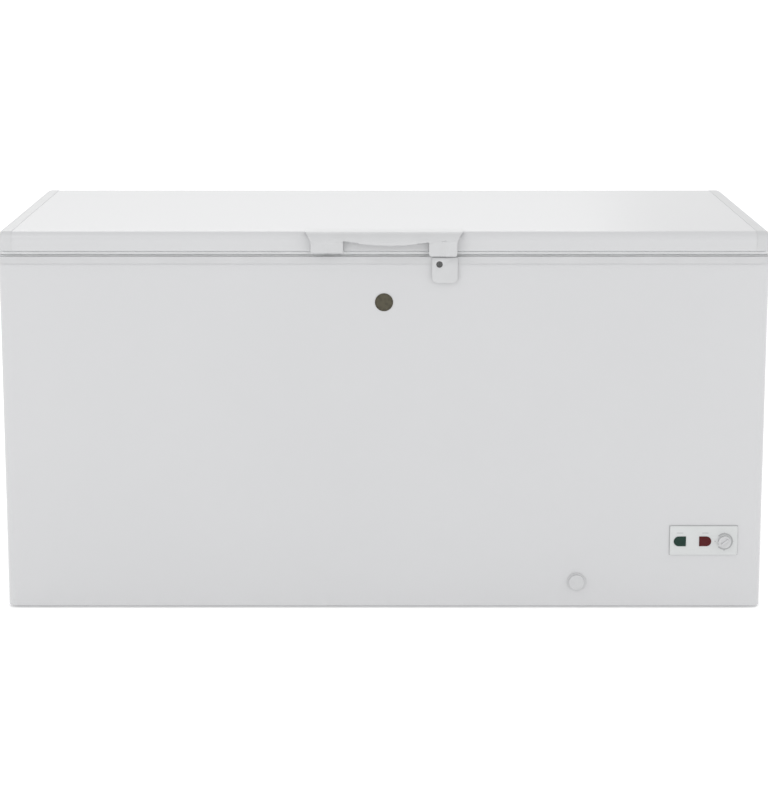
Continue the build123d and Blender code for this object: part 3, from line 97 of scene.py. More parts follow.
# ---------------------------------------------------------------- node trees
class Wire:
    """One output socket of a node tree, with arithmetic that adds the Math nodes it needs."""

    def __init__(self, board: "Board", socket: bpy.types.NodeSocket) -> None:
        """Keeps the board and the socket."""
        self.board = board
        self.socket = socket

    def maths(self, operation: str, *values: Number) -> "Wire":
        """Adds one Math node.

        Args:
            operation: the Math node's operation.
            values: what goes into its sockets, in order.

        Returns:
            The node's result.
        """
        return self.board.add("ShaderNodeMath", {"operation": operation}, dict(enumerate(values)))

    def __add__(self, other: Number) -> "Wire":
        """This plus other."""
        return self.maths("ADD", self, other)

    def __radd__(self, other: Number) -> "Wire":
        """Other plus this."""
        return self.maths("ADD", other, self)

    def __sub__(self, other: Number) -> "Wire":
        """This less other."""
        return self.maths("SUBTRACT", self, other)

    def __rsub__(self, other: Number) -> "Wire":
        """Other less this."""
        return self.maths("SUBTRACT", other, self)

    def __mul__(self, other: Number) -> "Wire":
        """This times other."""
        return self.maths("MULTIPLY", self, other)

    def __rmul__(self, other: Number) -> "Wire":
        """Other times this."""
        return self.maths("MULTIPLY", other, self)

    def step(self, low: float, high: float) -> "Wire":
        """Rises smoothly from 0 to 1 between two values."""
        values = {"Value": self, "From Min": low, "From Max": high}
        return self.board.add("ShaderNodeMapRange", {"interpolation_type": "SMOOTHSTEP"}, values)


class Board:
    """A node tree that is being filled."""

    def __init__(self, tree: bpy.types.NodeTree) -> None:
        """Keeps the tree."""
        self.tree = tree

    def add(
        self,
        kind: str,
        settings: Optional[dict] = None,
        values: Optional[dict] = None,
        output: Union[int, str] = 0,
    ) -> Wire:
        """Adds one node.

        Args:
            kind: the node's type.
            settings: properties to set first.
            values: a value or a wire for each socket, by name or number.
            output: which output to hand back, by name or number.

        Returns:
            The chosen output.
        """
        node = self.tree.nodes.new(kind)
        for name, setting in (settings or {}).items():
            setattr(node, name, setting)
        for name, value in (values or {}).items():
            self.plug(node.inputs[name], value)
        return Wire(self, node.outputs[output])

    def plug(self, socket: bpy.types.NodeSocket, value: Union[Wire, float, Sequence[float]]) -> None:
        """Links a wire to a socket, or sets the socket's own value.

        Args:
            socket: the socket to feed.
            value: a wire, or a plain value.
        """
        if isinstance(value, Wire):
            self.tree.links.new(value.socket, socket)
        else:
            socket.default_value = value


class PaintBoard(Board):
    """The node tree of one material, with the textures that the finishes share."""

    def __init__(self, tree: bpy.types.NodeTree) -> None:
        """Clears the tree and adds the surface shader.

        Args:
            tree: the material's tree.
        """
        super().__init__(tree)
        tree.nodes.clear()
        self.shader = tree.nodes.new("ShaderNodeBsdfPrincipled")
        end = tree.nodes.new("ShaderNodeOutputMaterial")
        tree.links.new(self.shader.outputs["BSDF"], end.inputs["Surface"])

    def place(self, stretch: Sequence[float] = (1.0, 1.0, 1.0), centre: Sequence[float] = (0, 0, 0)) -> Wire:
        """The place on the object, moved to a centre and then stretched.

        Args:
            stretch: how much each direction is multiplied.
            centre: the point that becomes the origin.

        Returns:
            The place as a vector.
        """
        spot = self.add("ShaderNodeTexCoord", output="Object")
        moved = self.add("ShaderNodeVectorMath", {"operation": "SUBTRACT"}, {0: spot, 1: tuple(centre)})
        return self.add("ShaderNodeVectorMath", {"operation": "MULTIPLY"}, {0: moved, 1: tuple(stretch)})

    def noise(self, place: Wire, scale: float, detail: float = 2.0) -> Wire:
        """Soft noise, about 0.5 on average, with scale cells to the metre."""
        return self.add("ShaderNodeTexNoise", None, {"Vector": place, "Scale": scale, "Detail": detail})

    def cells(self, place: Wire, scale: float, feature: str = "F1") -> Wire:
        """The distance to the nearest cell centre, with scale cells to the metre."""
        return self.add("ShaderNodeTexVoronoi", {"feature": feature}, {"Vector": place, "Scale": scale})

    def mix(self, factor: Number, first: Union[Wire, Colour], second: Union[Wire, Colour]) -> Wire:
        """A colour between two colours.

        Args:
            factor: 0 for the first colour and 1 for the second.
            first: a colour, or a wire.
            second: a colour, or a wire.

        Returns:
            The mixed colour.
        """
        values = {0: factor}
        for socket, colour in ((6, first), (7, second)):
            values[socket] = colour if isinstance(colour, Wire) else (*colour, 1.0)
        return self.add("ShaderNodeMix", {"data_type": "RGBA"}, values, 2)

    def bump(self, height: Wire, depth_mm: float) -> Wire:
        """A surface normal from a height between 0 and 1, with a depth in millimetres."""
        return self.add("ShaderNodeBump", None, {"Height": height, "Distance": depth_mm * MM})

    def surface(self, **channels: Union[Wire, float, Colour]) -> None:
        """Sets the shader's sockets, named with underscores for spaces.

        Args:
            **channels: a value or a wire for each socket.
        """
        for name, value in channels.items():
            socket = self.shader.inputs[name.replace("_", " ").title().replace("Ior", "IOR")]
            if isinstance(value, tuple) and len(value) == 3:
                value = (*value, 1.0)
            self.plug(socket, value)


def shade(tint: Colour, factor: float) -> Colour:
    """A lighter or darker copy of a colour."""
    return tuple(min(1.0, part * factor) for part in tint)


# ---------------------------------------------------------------- finishes
@dataclass(frozen=True)
class Finish:
    """A surface finish; each kind says in dress() how it is painted."""

    name: str
    tint: Colour
    roughness: float

    def material(self) -> bpy.types.Material:
        """The finish's material, made the first time it is asked for.

        Returns:
            The material.
        """
        title = f"{self.name}_finish"
        material = bpy.data.materials.get(title)
        if material is None:
            material = bpy.data.materials.new(title)
            material.use_nodes = True
            self.dress(PaintBoard(material.node_tree))
        return material

    def dress(self, board: PaintBoard) -> None:
        """Paints the finish on an empty board."""
        raise NotImplementedError(self.name)


@dataclass(frozen=True)
class Enamel(Finish):
    """Baked paint on steel: a clear gloss over a faint orange peel, a little dusty near the floor."""

    peel_mm: float = 2.2
    depth_mm: float = 0.012
    coat: float = 0.35
    dust: float = 0.06

    def dress(self, board: PaintBoard) -> None:
        """Paints broad clouding, low dust and the peel.

        Args:
            board: the empty board of the material.
        """
        place = board.place()
        cloud = board.noise(place, 2.0, 3.0)
        height = board.add("ShaderNodeSeparateXYZ", None, {0: place}, "Z")
        low = 1.0 - height.step(0.0, 0.16)
        speck = board.noise(place, 420.0, 1.0).step(0.52, 0.7)
        dust = low * speck * self.dust
        paint = board.mix(cloud.step(0.3, 0.7), shade(self.tint, 0.985), self.tint)
        board.surface(
            base_color=board.mix(dust, paint, (0.42, 0.40, 0.37)),
            roughness=cloud * 0.08 + dust * 2.0 + (self.roughness - 0.04),
            normal=board.bump(board.noise(place, 1.0 / (self.peel_mm * MM), 1.0), self.depth_mm),
            coat_weight=self.coat,
            coat_roughness=0.12,
        )


@dataclass(frozen=True)
class Moulding(Finish):
    """Moulded plastic with a fine spark-eroded grain and slightly cloudy colour."""

    grain_mm: float = 0.7
    depth_mm: float = 0.02
    coat: float = 0.0
    mottle: float = 0.03

    def dress(self, board: PaintBoard) -> None:
        """Paints the cloudiness, the grain and slightly uneven gloss.

        Args:
            board: the empty board of the material.
        """
        place = board.place()
        cloud = board.noise(place, 18.0, 3.0)
        grain = board.noise(place, 1.0 / (self.grain_mm * MM), 2.0)
        board.surface(
            base_color=board.mix(cloud.step(0.3, 0.7), shade(self.tint, 1.0 - self.mottle), self.tint),
            roughness=grain * 0.12 + (self.roughness - 0.06),
            normal=board.bump(grain, self.depth_mm),
            coat_weight=self.coat,
            coat_roughness=0.15,
        )


@dataclass(frozen=True)
class BareMetal(Finish):
    """Drawn, rolled or plated metal: fine lines along one direction, and blotchy polish."""

    stretch: tuple[float, float, float] = (1.0, 1.0, 1.0)
    line_mm: float = 0.5
    depth_mm: float = 0.004
    stain: Colour = (0.35, 0.34, 0.32)
    staining: float = 0.12

    def dress(self, board: PaintBoard) -> None:
        """Paints the lines, the blotches and the stain.

        Args:
            board: the empty board of the material.
        """
        blotch = board.noise(board.place(), 30.0, 4.0)
        lines = board.noise(board.place(self.stretch), 1.0 / (self.line_mm * MM), 2.0)
        stained = blotch.step(0.5, 0.75) * self.staining
        board.surface(
            base_color=board.mix(stained, self.tint, self.stain),
            roughness=lines * 0.14 + blotch * 0.16 + (self.roughness - 0.15),
            normal=board.bump(lines, self.depth_mm),
            metallic=1.0,
        )


@dataclass(frozen=True)
class Spangle(Finish):
    """Zinc-coated steel, with large flat crystals of slightly different greys."""

    crystal_mm: float = 9.0

    def dress(self, board: PaintBoard) -> None:
        """Paints one grey for each crystal.

        Args:
            board: the empty board of the material.
        """
        place = board.place()
        values = {"Vector": place, "Scale": 1.0 / (self.crystal_mm * MM)}
        crystal = board.add("ShaderNodeTexVoronoi", {"feature": "F1"}, values, "Color")
        grey = board.add("ShaderNodeSeparateColor", None, {0: crystal}, 0)
        board.surface(
            base_color=board.mix(grey, shade(self.tint, 0.86), shade(self.tint, 1.08)),
            roughness=grey * 0.16 + (self.roughness - 0.08),
            metallic=0.9,
            normal=board.bump(board.noise(place, 900.0, 1.0), 0.004),
        )


@dataclass(frozen=True)
class StuccoSheet(Finish):
    """Embossed sheet: small rounded pillows pressed all over it, with frost-white gloss."""

    pillow_mm: float = 3.2
    depth_mm: float = 0.16
    metallic: float = 0.35

    def dress(self, board: PaintBoard) -> None:
        """Paints the pillows and faint clouding.

        Args:
            board: the empty board of the material.
        """
        place = board.place()
        pillow = board.cells(place, 1.0 / (self.pillow_mm * MM), "SMOOTH_F1")
        cloud = board.noise(place, 5.0, 3.0)
        board.surface(
            base_color=board.mix(cloud.step(0.3, 0.7), shade(self.tint, 0.97), self.tint),
            roughness=pillow * 0.15 + self.roughness,
            metallic=self.metallic,
            normal=board.bump(1.0 - pillow, self.depth_mm),
        )


@dataclass(frozen=True)
class FoamFill(Finish):
    """Poured insulating foam: a skin of tiny open cells, darker where it is older."""

    cell_mm: float = 1.4

    def dress(self, board: PaintBoard) -> None:
        """Paints the cells and the ageing.

        Args:
            board: the empty board of the material.
        """
        place = board.place()
        cell = board.cells(place, 1.0 / (self.cell_mm * MM))
        age = board.noise(place, 6.0, 4.0)
        board.surface(
            base_color=board.mix(age.step(0.35, 0.7), self.tint, shade(self.tint, 0.82)),
            roughness=self.roughness,
            normal=board.bump(cell, 0.4),
        )


@dataclass(frozen=True)
class SoftSeal(Finish):
    """Soft vinyl or rubber: matt, with faint lines from the die and a chalky bloom."""

    bloom: Colour = (0.86, 0.86, 0.86)

    def dress(self, board: PaintBoard) -> None:
        """Paints the bloom and the skin.

        Args:
            board: the empty board of the material.
        """
        place = board.place()
        cloud = board.noise(place, 45.0, 4.0)
        skin = board.noise(place, 1600.0, 2.0)
        board.surface(
            base_color=board.mix(cloud.step(0.5, 0.8) * 0.12, self.tint, self.bloom),
            roughness=skin * 0.14 + (self.roughness - 0.07),
            normal=board.bump(skin, 0.015),
        )


@dataclass(frozen=True)
class TintedLens(Finish):
    """Clear tinted plastic over a dark lamp, with fine upright flutes behind its face."""

    deep: Colour = (0.0, 0.0, 0.0)
    flute_mm: float = 1.1

    def dress(self, board: PaintBoard) -> None:
        """Paints the flutes, slightly paler in random patches.

        Args:
            board: the empty board of the material.
        """
        place = board.place()
        across = board.add("ShaderNodeSeparateXYZ", None, {0: place}, "X")
        turn = across * (2 * math.pi / (self.flute_mm * MM))
        wave = turn.maths("SINE", turn) * 0.5 + 0.5
        board.surface(
            base_color=board.mix(wave * 0.5 + board.noise(place, 90.0) * 0.3, self.deep, self.tint),
            roughness=wave * 0.05 + self.roughness,
            normal=board.bump(wave, 0.03),
            specular_ior_level=0.22,
        )


@dataclass(frozen=True)
class ClearCover(Finish):
    """Frosted clear plastic with a fine prism pattern, which lets some light through."""

    alpha: float = 0.62
    prism_mm: float = 2.5

    def dress(self, board: PaintBoard) -> None:
        """Paints the prisms and the frosting.

        Args:
            board: the empty board of the material.
        """
        place = board.place()
        prism = board.cells(place, 1.0 / (self.prism_mm * MM))
        board.surface(
            base_color=board.mix(prism, self.tint, shade(self.tint, 0.93)),
            roughness=prism * 0.1 + self.roughness,
            alpha=self.alpha,
            normal=board.bump(prism, 0.25),
        )


@dataclass(frozen=True)
class SpunBronze(Finish):
    """A bare bronze-grey disc with rings from the lathe, round its own centre in X and Z."""

    centre: tuple[float, float, float] = (0.0, 0.0, 0.0)
    ring_mm: float = 0.45

    def dress(self, board: PaintBoard) -> None:
        """Paints the rings and a soft patina.

        Args:
            board: the empty board of the material.
        """
        place = board.place((1.0, 0.0, 1.0), self.centre)
        away = board.add("ShaderNodeVectorMath", {"operation": "LENGTH"}, {0: place}, "Value")
        turn = away * (2 * math.pi / (self.ring_mm * MM))
        rings = turn.maths("SINE", turn) * 0.5 + 0.5
        patina = board.noise(board.place(), 120.0, 4.0)
        board.surface(
            base_color=board.mix(patina.step(0.35, 0.7), self.tint, shade(self.tint, 0.72)),
            roughness=rings * 0.1 + patina * 0.1 + (self.roughness - 0.1),
            metallic=0.55,
            normal=board.bump(rings, 0.006),
        )


@dataclass(frozen=True)
class TrackedBoard(Finish):
    """A circuit board: green mask over paler tracks, with a fine glass weave."""

    track: Colour = (0.20, 0.42, 0.20)

    def dress(self, board: PaintBoard) -> None:
        """Paints the tracks as blocks and the weave as a fine bump.

        Args:
            board: the empty board of the material.
        """
        place = board.place()
        blocks = {"Vector": place, "Scale": 130.0}
        track = board.add("ShaderNodeTexVoronoi", {"distance": "CHEBYCHEV", "feature": "F2"}, blocks)
        weave = board.noise(place, 1500.0, 1.0)
        board.surface(
            base_color=board.mix(track.step(0.55, 0.6), self.tint, self.track),
            roughness=weave * 0.1 + self.roughness,
            normal=board.bump(weave, 0.02),
            coat_weight=0.3,
        )


@dataclass(frozen=True)
class Backdrop(Finish):
    """Pale studio paper that is lit a little from behind, so that it comes out nearly white."""

    glow: float = 0.29

    def dress(self, board: PaintBoard) -> None:
        """Paints a faint paper fibre.

        Args:
            board: the empty board of the material.
        """
        fibre = board.noise(board.place(), 300.0, 2.0)
        board.surface(
            base_color=board.mix(fibre, self.tint, shade(self.tint, 0.985)),
            roughness=self.roughness,
            emission_color=(1.0, 1.0, 1.0),
            emission_strength=self.glow,
            specular_ior_level=0.0,
        )


WHITE = (0.548, 0.551, 0.56)
FINISHES: dict[str, Finish] = {
    "white_steel": Enamel("white_enamel", WHITE, 0.32),
    "back_steel": Enamel("back_enamel", (0.58, 0.585, 0.59), 0.45, coat=0.1, dust=0.35),
    "pan_steel": Spangle("zinc_spangle", (0.50, 0.51, 0.52), 0.42),
    "liner": StuccoSheet("stucco_liner", (0.80, 0.81, 0.82), 0.34),
    "foam": FoamFill("poured_foam", (0.74, 0.62, 0.36), 0.95),
    "rim_plastic": Moulding("rim_moulding", (0.532, 0.535, 0.542), 0.38, coat=0.1),
    "cap_plastic": Moulding("white_moulding", (0.53, 0.534, 0.541), 0.34, coat=0.2),
    "tube_aluminium": BareMetal("drawn_aluminium", (0.66, 0.67, 0.68), 0.42),
    "tube_copper": BareMetal(
        "drawn_copper", (0.72, 0.36, 0.20), 0.34, stain=(0.22, 0.12, 0.08), staining=0.3
    ),
    "compressor_black": Enamel("black_enamel", (0.018, 0.018, 0.02), 0.38, coat=0.5, dust=0.5),
    "black_rubber": SoftSeal("black_rubber", (0.022, 0.022, 0.022), 0.72, bloom=(0.25, 0.25, 0.25)),
    "black_plastic": Moulding("black_moulding", (0.028, 0.028, 0.03), 0.5, mottle=0.15),
    "bright_steel": BareMetal("bright_steel", (0.62, 0.62, 0.61), 0.30),
    "zinc_steel": BareMetal("zinc_plate", (0.60, 0.61, 0.60), 0.40, stretch=(1.0, 1.0, 0.15)),
    "panel_plastic": Moulding("panel_moulding", (0.575, 0.587, 0.587), 0.40, grain_mm=0.5),
    "green_lens": TintedLens("green_lens", (0.012, 0.055, 0.038), 0.16, deep=(0.004, 0.016, 0.012)),
    "red_lens": TintedLens("red_lens", (0.120, 0.004, 0.006), 0.16, deep=(0.035, 0.001, 0.002)),
    "circuit_board": TrackedBoard("circuit_board", (0.015, 0.11, 0.035), 0.4),
    "grey_plastic": Moulding("grey_moulding", (0.36, 0.365, 0.37), 0.5),
    "badge_face": SpunBronze("spun_bronze", (0.082, 0.074, 0.050), 0.42, centre=(0.0, 0.0, 0.6854)),
    "seal_rubber": SoftSeal("seal_vinyl", (0.66, 0.665, 0.67), 0.62),
    "coated_wire": Enamel("dipped_white", (0.76, 0.77, 0.77), 0.30, peel_mm=1.2, coat=0.4, dust=0.0),
    "lamp_clear": ClearCover("lamp_cover", (0.90, 0.92, 0.93), 0.35),
}


# ---------------------------------------------------------------- meshes
class Shape:
    """A mesh being built from rings of points."""

    def __init__(self) -> None:
        """Starts empty."""
        self.form = bmesh.new()

    def ring(self, points: Iterable[Sequence[float]]) -> list[bmesh.types.BMVert]:
        """Adds points and hands back their vertices."""
        return [self.form.verts.new(point) for point in points]

    def bridge(self, first: Sequence, second: Sequence, closed: bool = True) -> None:
        """Joins two rings of the same length with faces.

        Args:
            first: one ring's vertices.
            second: the other ring's vertices.
            closed: whether the last vertex joins the first.
        """
        count = len(first)
        for i in range(count if closed else count - 1):
            j = (i + 1) % count
            self.form.faces.new((first[i], first[j], second[j], second[i]))

    def skin(self, rings: Sequence[Sequence], closed: bool = True) -> None:
        """Joins each ring to the next."""
        for first, second in zip(rings, rings[1:]):
            self.bridge(first, second, closed)

    def close(self, ring: Sequence[bmesh.types.BMVert]) -> None:
        """Closes a ring with one face."""
        self.form.faces.new(ring)

    def turned(self, profile: Sequence[tuple[float, float]], sides: int, stand: Matrix) -> None:
        """Adds a solid turned on a lathe.

        Args:
            profile: (radius, height) pairs; a radius of 0 at either end closes it at a pole.
            sides: how many sides the circle has.
            stand: takes the lathe's +Z axis and origin to their place.
        """
        rings = []
        for radius, height in profile:
            if radius == 0.0:
                rings.append([self.form.verts.new(stand @ Vector((0.0, 0.0, height)))] * sides)
                continue
            angles = (2 * math.pi * i / sides for i in range(sides))
            circle = (Vector((radius * math.cos(a), radius * math.sin(a), height)) for a in angles)
            rings.append(self.ring(stand @ point for point in circle))
        for first, second in zip(rings, rings[1:]):
            for i in range(sides):
                j = (i + 1) % sides
                corners = dict.fromkeys((first[i], first[j], second[j], second[i]))
                self.form.faces.new(tuple(corners))

    def lathe(
        self,
        profile_mm: Sequence[tuple[float, float]],
        sides: int,
        place: Sequence[float],
        way: Sequence[float],
    ) -> None:
        """Adds a turned solid whose profile is in millimetres.

        Args:
            profile_mm: (radius, height) pairs; a radius of 0 at either end closes it at a pole.
            sides: how many sides the circle has.
            place: where height 0 lies, in metres.
            way: the direction in which height rises.
        """
        profile = [(radius * MM, height * MM) for radius, height in profile_mm]
        self.turned(profile, sides, facing(place, way))

    def block(self, low: Sequence[float], high: Sequence[float]) -> None:
        """Adds a box between two corners.

        Args:
            low: the lowest corner.
            high: the highest corner.
        """
        flat = [(low[0], low[1]), (high[0], low[1]), (high[0], high[1]), (low[0], high[1])]
        rings = [self.ring((x, y, z) for x, y in flat) for z in (low[2], high[2])]
        self.bridge(*rings)
        self.close(rings[0][::-1])
        self.close(rings[1])

    def prism(self, outline: Sequence[tuple[float, float]], near: float, far: float) -> None:
        """Adds a prism from an outline in X and Z, between two Y values.

        Args:
            outline: (x, z) corners in order.
            near: the first Y value.
            far: the second Y value.
        """
        rings = [self.ring((x, y, z) for x, z in outline) for y in (near, far)]
        self.bridge(*rings)
        self.close(rings[0][::-1])
        self.close(rings[1])

    def rounded(self, width_mm: float, steps: int = 2, angle: float = 35.0) -> "Shape":
        """Rounds every edge that is sharper than an angle in degrees.

        Args:
            width_mm: how wide the rounding is.
            steps: how many facets it has.
            angle: the smallest angle that is rounded.

        Returns:
            The shape itself.
        """
        limit = math.radians(angle)
        sharp = [e for e in self.form.edges if e.is_manifold and e.calc_face_angle() > limit]
        bmesh.ops.bevel(
            self.form,
            geom=sharp,
            offset=width_mm * MM,
            segments=steps,
            profile=0.5,
            affect="EDGES",
            clamp_overlap=True,
        )
        return self

    def mesh(self, name: str) -> bpy.types.Mesh:
        """Turns the shape into a mesh whose faces point outwards.

        Args:
            name: the mesh's name.

        Returns:
            The finished mesh; the shape is used up.
        """
        bmesh.ops.recalc_face_normals(self.form, faces=self.form.faces)
        mesh = bpy.data.meshes.new(name)
        self.form.to_mesh(mesh)
        self.form.free()
        return mesh


def merged_copy(node: bpy.types.Object, flat_faces: bool = True) -> Shape:
    """A copy of a frame node's mesh with its loose triangles joined, and its flat faces made whole.

    Args:
        node: the frame node's object.
        flat_faces: whether coplanar faces are merged.

    Returns:
        The copy.
    """
    shape = Shape()
    shape.form.from_mesh(node.data)
    bmesh.ops.remove_doubles(shape.form, verts=shape.form.verts, dist=WELD)
    if flat_faces:
        corners = {"verts": shape.form.verts, "edges": shape.form.edges}
        bmesh.ops.dissolve_limit(shape.form, angle_limit=math.radians(2.0), **corners)
    return shape


def islands(node: bpy.types.Object) -> list[Box]:
    """The box of each separate solid in a frame node.

    Args:
        node: the frame node's object.

    Returns:
        The boxes, from left to right.
    """
    form = bmesh.new()
    form.from_mesh(node.data)
    bmesh.ops.remove_doubles(form, verts=form.verts, dist=WELD)
    left = set(form.verts)
    boxes = []
    while left:
        reached = [left.pop()]
        for vert in reached:
            for edge in vert.link_edges:
                other = edge.other_vert(vert)
                if other in left:
                    left.remove(other)
                    reached.append(other)
        spots = [vert.co for vert in reached]
        low = Vector(min(spot[i] for spot in spots) for i in range(3))
        high = Vector(max(spot[i] for spot in spots) for i in range(3))
        boxes.append((low, high))
    form.free()
    return sorted(boxes, key=lambda box: tuple(round(part, 5) for part in box[0]))


def facing(place: Sequence[float], way: Sequence[float]) -> Matrix:
    """A matrix that takes the origin to a place and +Z to a direction."""
    return Matrix.Translation(place) @ Vector(way).to_track_quat("Z", "Y").to_matrix().to_4x4()


def centre_of(box: Box) -> Vector:
    """The middle of a box."""
    return (box[0] + box[1]) / 2


def half_width_mm(box: Box) -> float:
    """Half of a box's width, in millimetres."""
    return (box[1].x - box[0].x) / 2 / MM


def plan_ring(box: Box, inset: float, corner: float, z: float, steps: int = 8) -> list[Vector]:
    """A level ring of points round a box with rounded corners, moved inwards by an inset.

    Args:
        box: the box to go round.
        inset: how far inside the box the ring lies.
        corner: the box's corner radius.
        z: the ring's height.
        steps: how many sides each corner has.

    Returns:
        The ring's points.
    """
    radius = max(corner - inset, 1.0 * MM)
    low, high = box
    points = []
    middles = (
        (high.x - inset - radius, high.y - inset - radius, 0.0),
        (low.x + inset + radius, high.y - inset - radius, 90.0),
        (low.x + inset + radius, low.y + inset + radius, 180.0),
        (high.x - inset - radius, low.y + inset + radius, 270.0),
    )
    for x, y, start in middles:
        for i in range(steps + 1):
            angle = math.radians(start + 90.0 * i / steps)
            points.append(Vector((x + radius * math.cos(angle), y + radius * math.sin(angle), z)))
    return points


def evaluated(thing: bpy.types.Object) -> bpy.types.Mesh:
    """An object's mesh with its modifiers applied; the object is then thrown away.

    Args:
        thing: the object.

    Returns:
        The mesh.
    """
    view = bpy.context.evaluated_depsgraph_get()
    mesh = bpy.data.meshes.new_from_object(thing.evaluated_get(view), depsgraph=view)
    bpy.data.objects.remove(thing)
    return mesh


def in_scene(name: str, mesh: bpy.types.Mesh) -> bpy.types.Object:
    """Puts a mesh in the scene as an object at the origin.

    Args:
        name: the object's name.
        mesh: its mesh.

    Returns:
        The object.
    """
    thing = bpy.data.objects.new(name, mesh)
    bpy.context.scene.collection.objects.link(thing)
    return thing


@dataclass
class Showroom:
    """Adds finished pieces to the scene and ties them to the frame."""

    frame: dict

    def node(self, name: str) -> bpy.types.Object:
        """A frame node's object."""
        return self.frame["nodes"][name]

    def add(
        self,
        name: str,
        mesh: bpy.types.Mesh,
        slot: str,
        body: Optional[str],
        replaces: Sequence[str] = (),
        crease: float = 32.0,
        finish: Optional[Finish] = None,
    ) -> bpy.types.Object:
        """Adds one finished piece.

        Args:
            name: the piece's name.
            mesh: its final mesh, in place.
            slot: the finish slot that it is painted from.
            body: the frame body that it rides on, or None for a piece that spans two bodies and is left on
                neither.
            replaces: frame nodes that it stands for.
            crease: edges sharper than this, in degrees, stay sharp.
            finish: a variant of the slot's finish, for this piece alone.

        Returns:
            The new object.
        """
        mesh.materials.clear()
        mesh.materials.append((finish or FINISHES[slot]).material())
        mesh.shade_smooth()
        mesh.set_sharp_from_angle(angle=math.radians(crease))
        piece = in_scene(name, mesh)
        if body is not None:
            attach(piece, body)
        if replaces:
            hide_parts(*replaces)
        log.info("%s: %d faces in %s", name, len(mesh.polygons), slot)
        return piece


# ---------------------------------------------------------------- repeated shapes
class SocketKind(Enum):
    """The kinds of input that a pattern takes."""

    NUMBER = "NodeSocketFloat"
    COUNT = "NodeSocketInt"
    VECTOR = "NodeSocketVector"
    OBJECT = "NodeSocketObject"
    MATERIAL = "NodeSocketMaterial"


class Pattern(Board):
    """A Geometry Nodes tree with named inputs, which turns a base mesh into a finished plain mesh."""

    def __init__(self, name: str, inputs: dict[str, SocketKind]) -> None:
        """Makes the tree's inputs and output.

        Args:
            name: the tree's name.
            inputs: the kind of each named input.
        """
        super().__init__(bpy.data.node_groups.new(name, "GeometryNodeTree"))
        face = self.tree.interface
        face.new_socket("Geometry", in_out="INPUT", socket_type="NodeSocketGeometry")
        for title, kind in {**inputs, "Finish": SocketKind.MATERIAL}.items():
            face.new_socket(title, in_out="INPUT", socket_type=kind.value)
        face.new_socket("Geometry", in_out="OUTPUT", socket_type="NodeSocketGeometry")
        self.entry = self.tree.nodes.new("NodeGroupInput")
        self.exit = self.tree.nodes.new("NodeGroupOutput")

    def taken(self, title: str) -> Wire:
        """One of the tree's inputs."""
        return Wire(self, self.entry.outputs[title])

    def end(self, shape: Wire) -> "Pattern":
        """Realizes the instances, gives them their finish and ends the tree.

        Args:
            shape: the geometry that leaves the tree.

        Returns:
            The finished tree.
        """
        real = self.add("GeometryNodeRealizeInstances", None, {0: shape})
        values = {"Geometry": real, "Material": self.taken("Finish")}
        self.plug(self.exit.inputs[0], self.add("GeometryNodeSetMaterial", None, values))
        return self

    def grow(self, base: bpy.types.Mesh, values: dict) -> bpy.types.Mesh:
        """Runs the tree.

        Args:
            base: the mesh that goes into it.
            values: a value for each named input.

        Returns:
            A plain mesh.
        """
        thing = in_scene(self.tree.name, base)
        modifier = thing.modifiers.new(self.tree.name, "NODES")
        modifier.node_group = self.tree
        for item in self.tree.interface.items_tree:
            if item.in_out == "INPUT" and item.name in values:
                modifier[item.identifier] = values[item.name]
        return evaluated(thing)


def wire_rack() -> Pattern:
    """Bent wires side by side: the base is one path, rounded at its bends.

    Returns:
        The tree.
    """
    kinds = {"Count": SocketKind.COUNT, "Step": SocketKind.VECTOR}
    kinds |= {"Bend Radius": SocketKind.NUMBER, "Wire Radius": SocketKind.NUMBER}
    tree = Pattern("wire_rack", kinds)
    path = tree.add("GeometryNodeMeshToCurve", None, {0: tree.taken("Geometry")})
    bend = {"Curve": path, "Radius": tree.taken("Bend Radius"), "Count": 5, "Limit Radius": True}
    bent = tree.add("GeometryNodeFilletCurve", {"mode": "POLY"}, bend)
    circle = {"Resolution": 8, "Radius": tree.taken("Wire Radius")}
    section = tree.add("GeometryNodeCurvePrimitiveCircle", {"mode": "RADIUS"}, circle)
    body = {"Curve": bent, "Profile Curve": section, "Fill Caps": True}
    wire = tree.add("GeometryNodeCurveToMesh", None, body)
    row = {"Count": tree.taken("Count"), "Offset": tree.taken("Step")}
    places = tree.add("GeometryNodeMeshLine", {"mode": "OFFSET"}, row)
    return tree.end(tree.add("GeometryNodeInstanceOnPoints", None, {"Points": places, "Instance": wire}))


def straight_row() -> Pattern:
    """The base mesh repeated along a line.

    Returns:
        The tree.
    """
    tree = Pattern("straight_row", {"Count": SocketKind.COUNT, "Step": SocketKind.VECTOR})
    row = {"Count": tree.taken("Count"), "Offset": tree.taken("Step")}
    places = tree.add("GeometryNodeMeshLine", {"mode": "OFFSET"}, row)
    many = {"Points": places, "Instance": tree.taken("Geometry")}
    return tree.end(tree.add("GeometryNodeInstanceOnPoints", None, many))


def turned_row() -> Pattern:
    """The base mesh repeated round an axis through its own origin, then moved to a centre.

    Returns:
        The tree.
    """
    kinds = {"Count": SocketKind.COUNT, "Step Angle": SocketKind.NUMBER}
    kinds |= {"Axis": SocketKind.VECTOR, "Centre": SocketKind.VECTOR}
    tree = Pattern("turned_row", kinds)
    row = {"Count": tree.taken("Count"), "Offset": (0, 0, 0)}
    places = tree.add("GeometryNodeMeshLine", {"mode": "OFFSET"}, row)
    angle = tree.add("GeometryNodeInputIndex") * tree.taken("Step Angle")
    turn = tree.add("FunctionNodeAxisAngleToRotation", None, {"Axis": tree.taken("Axis"), "Angle": angle})
    many = {"Points": places, "Instance": tree.taken("Geometry"), "Rotation": turn}
    ring = tree.add("GeometryNodeInstanceOnPoints", None, many)
    moved = {"Geometry": ring, "Translation": tree.taken("Centre")}
    return tree.end(tree.add("GeometryNodeTransform", None, moved))


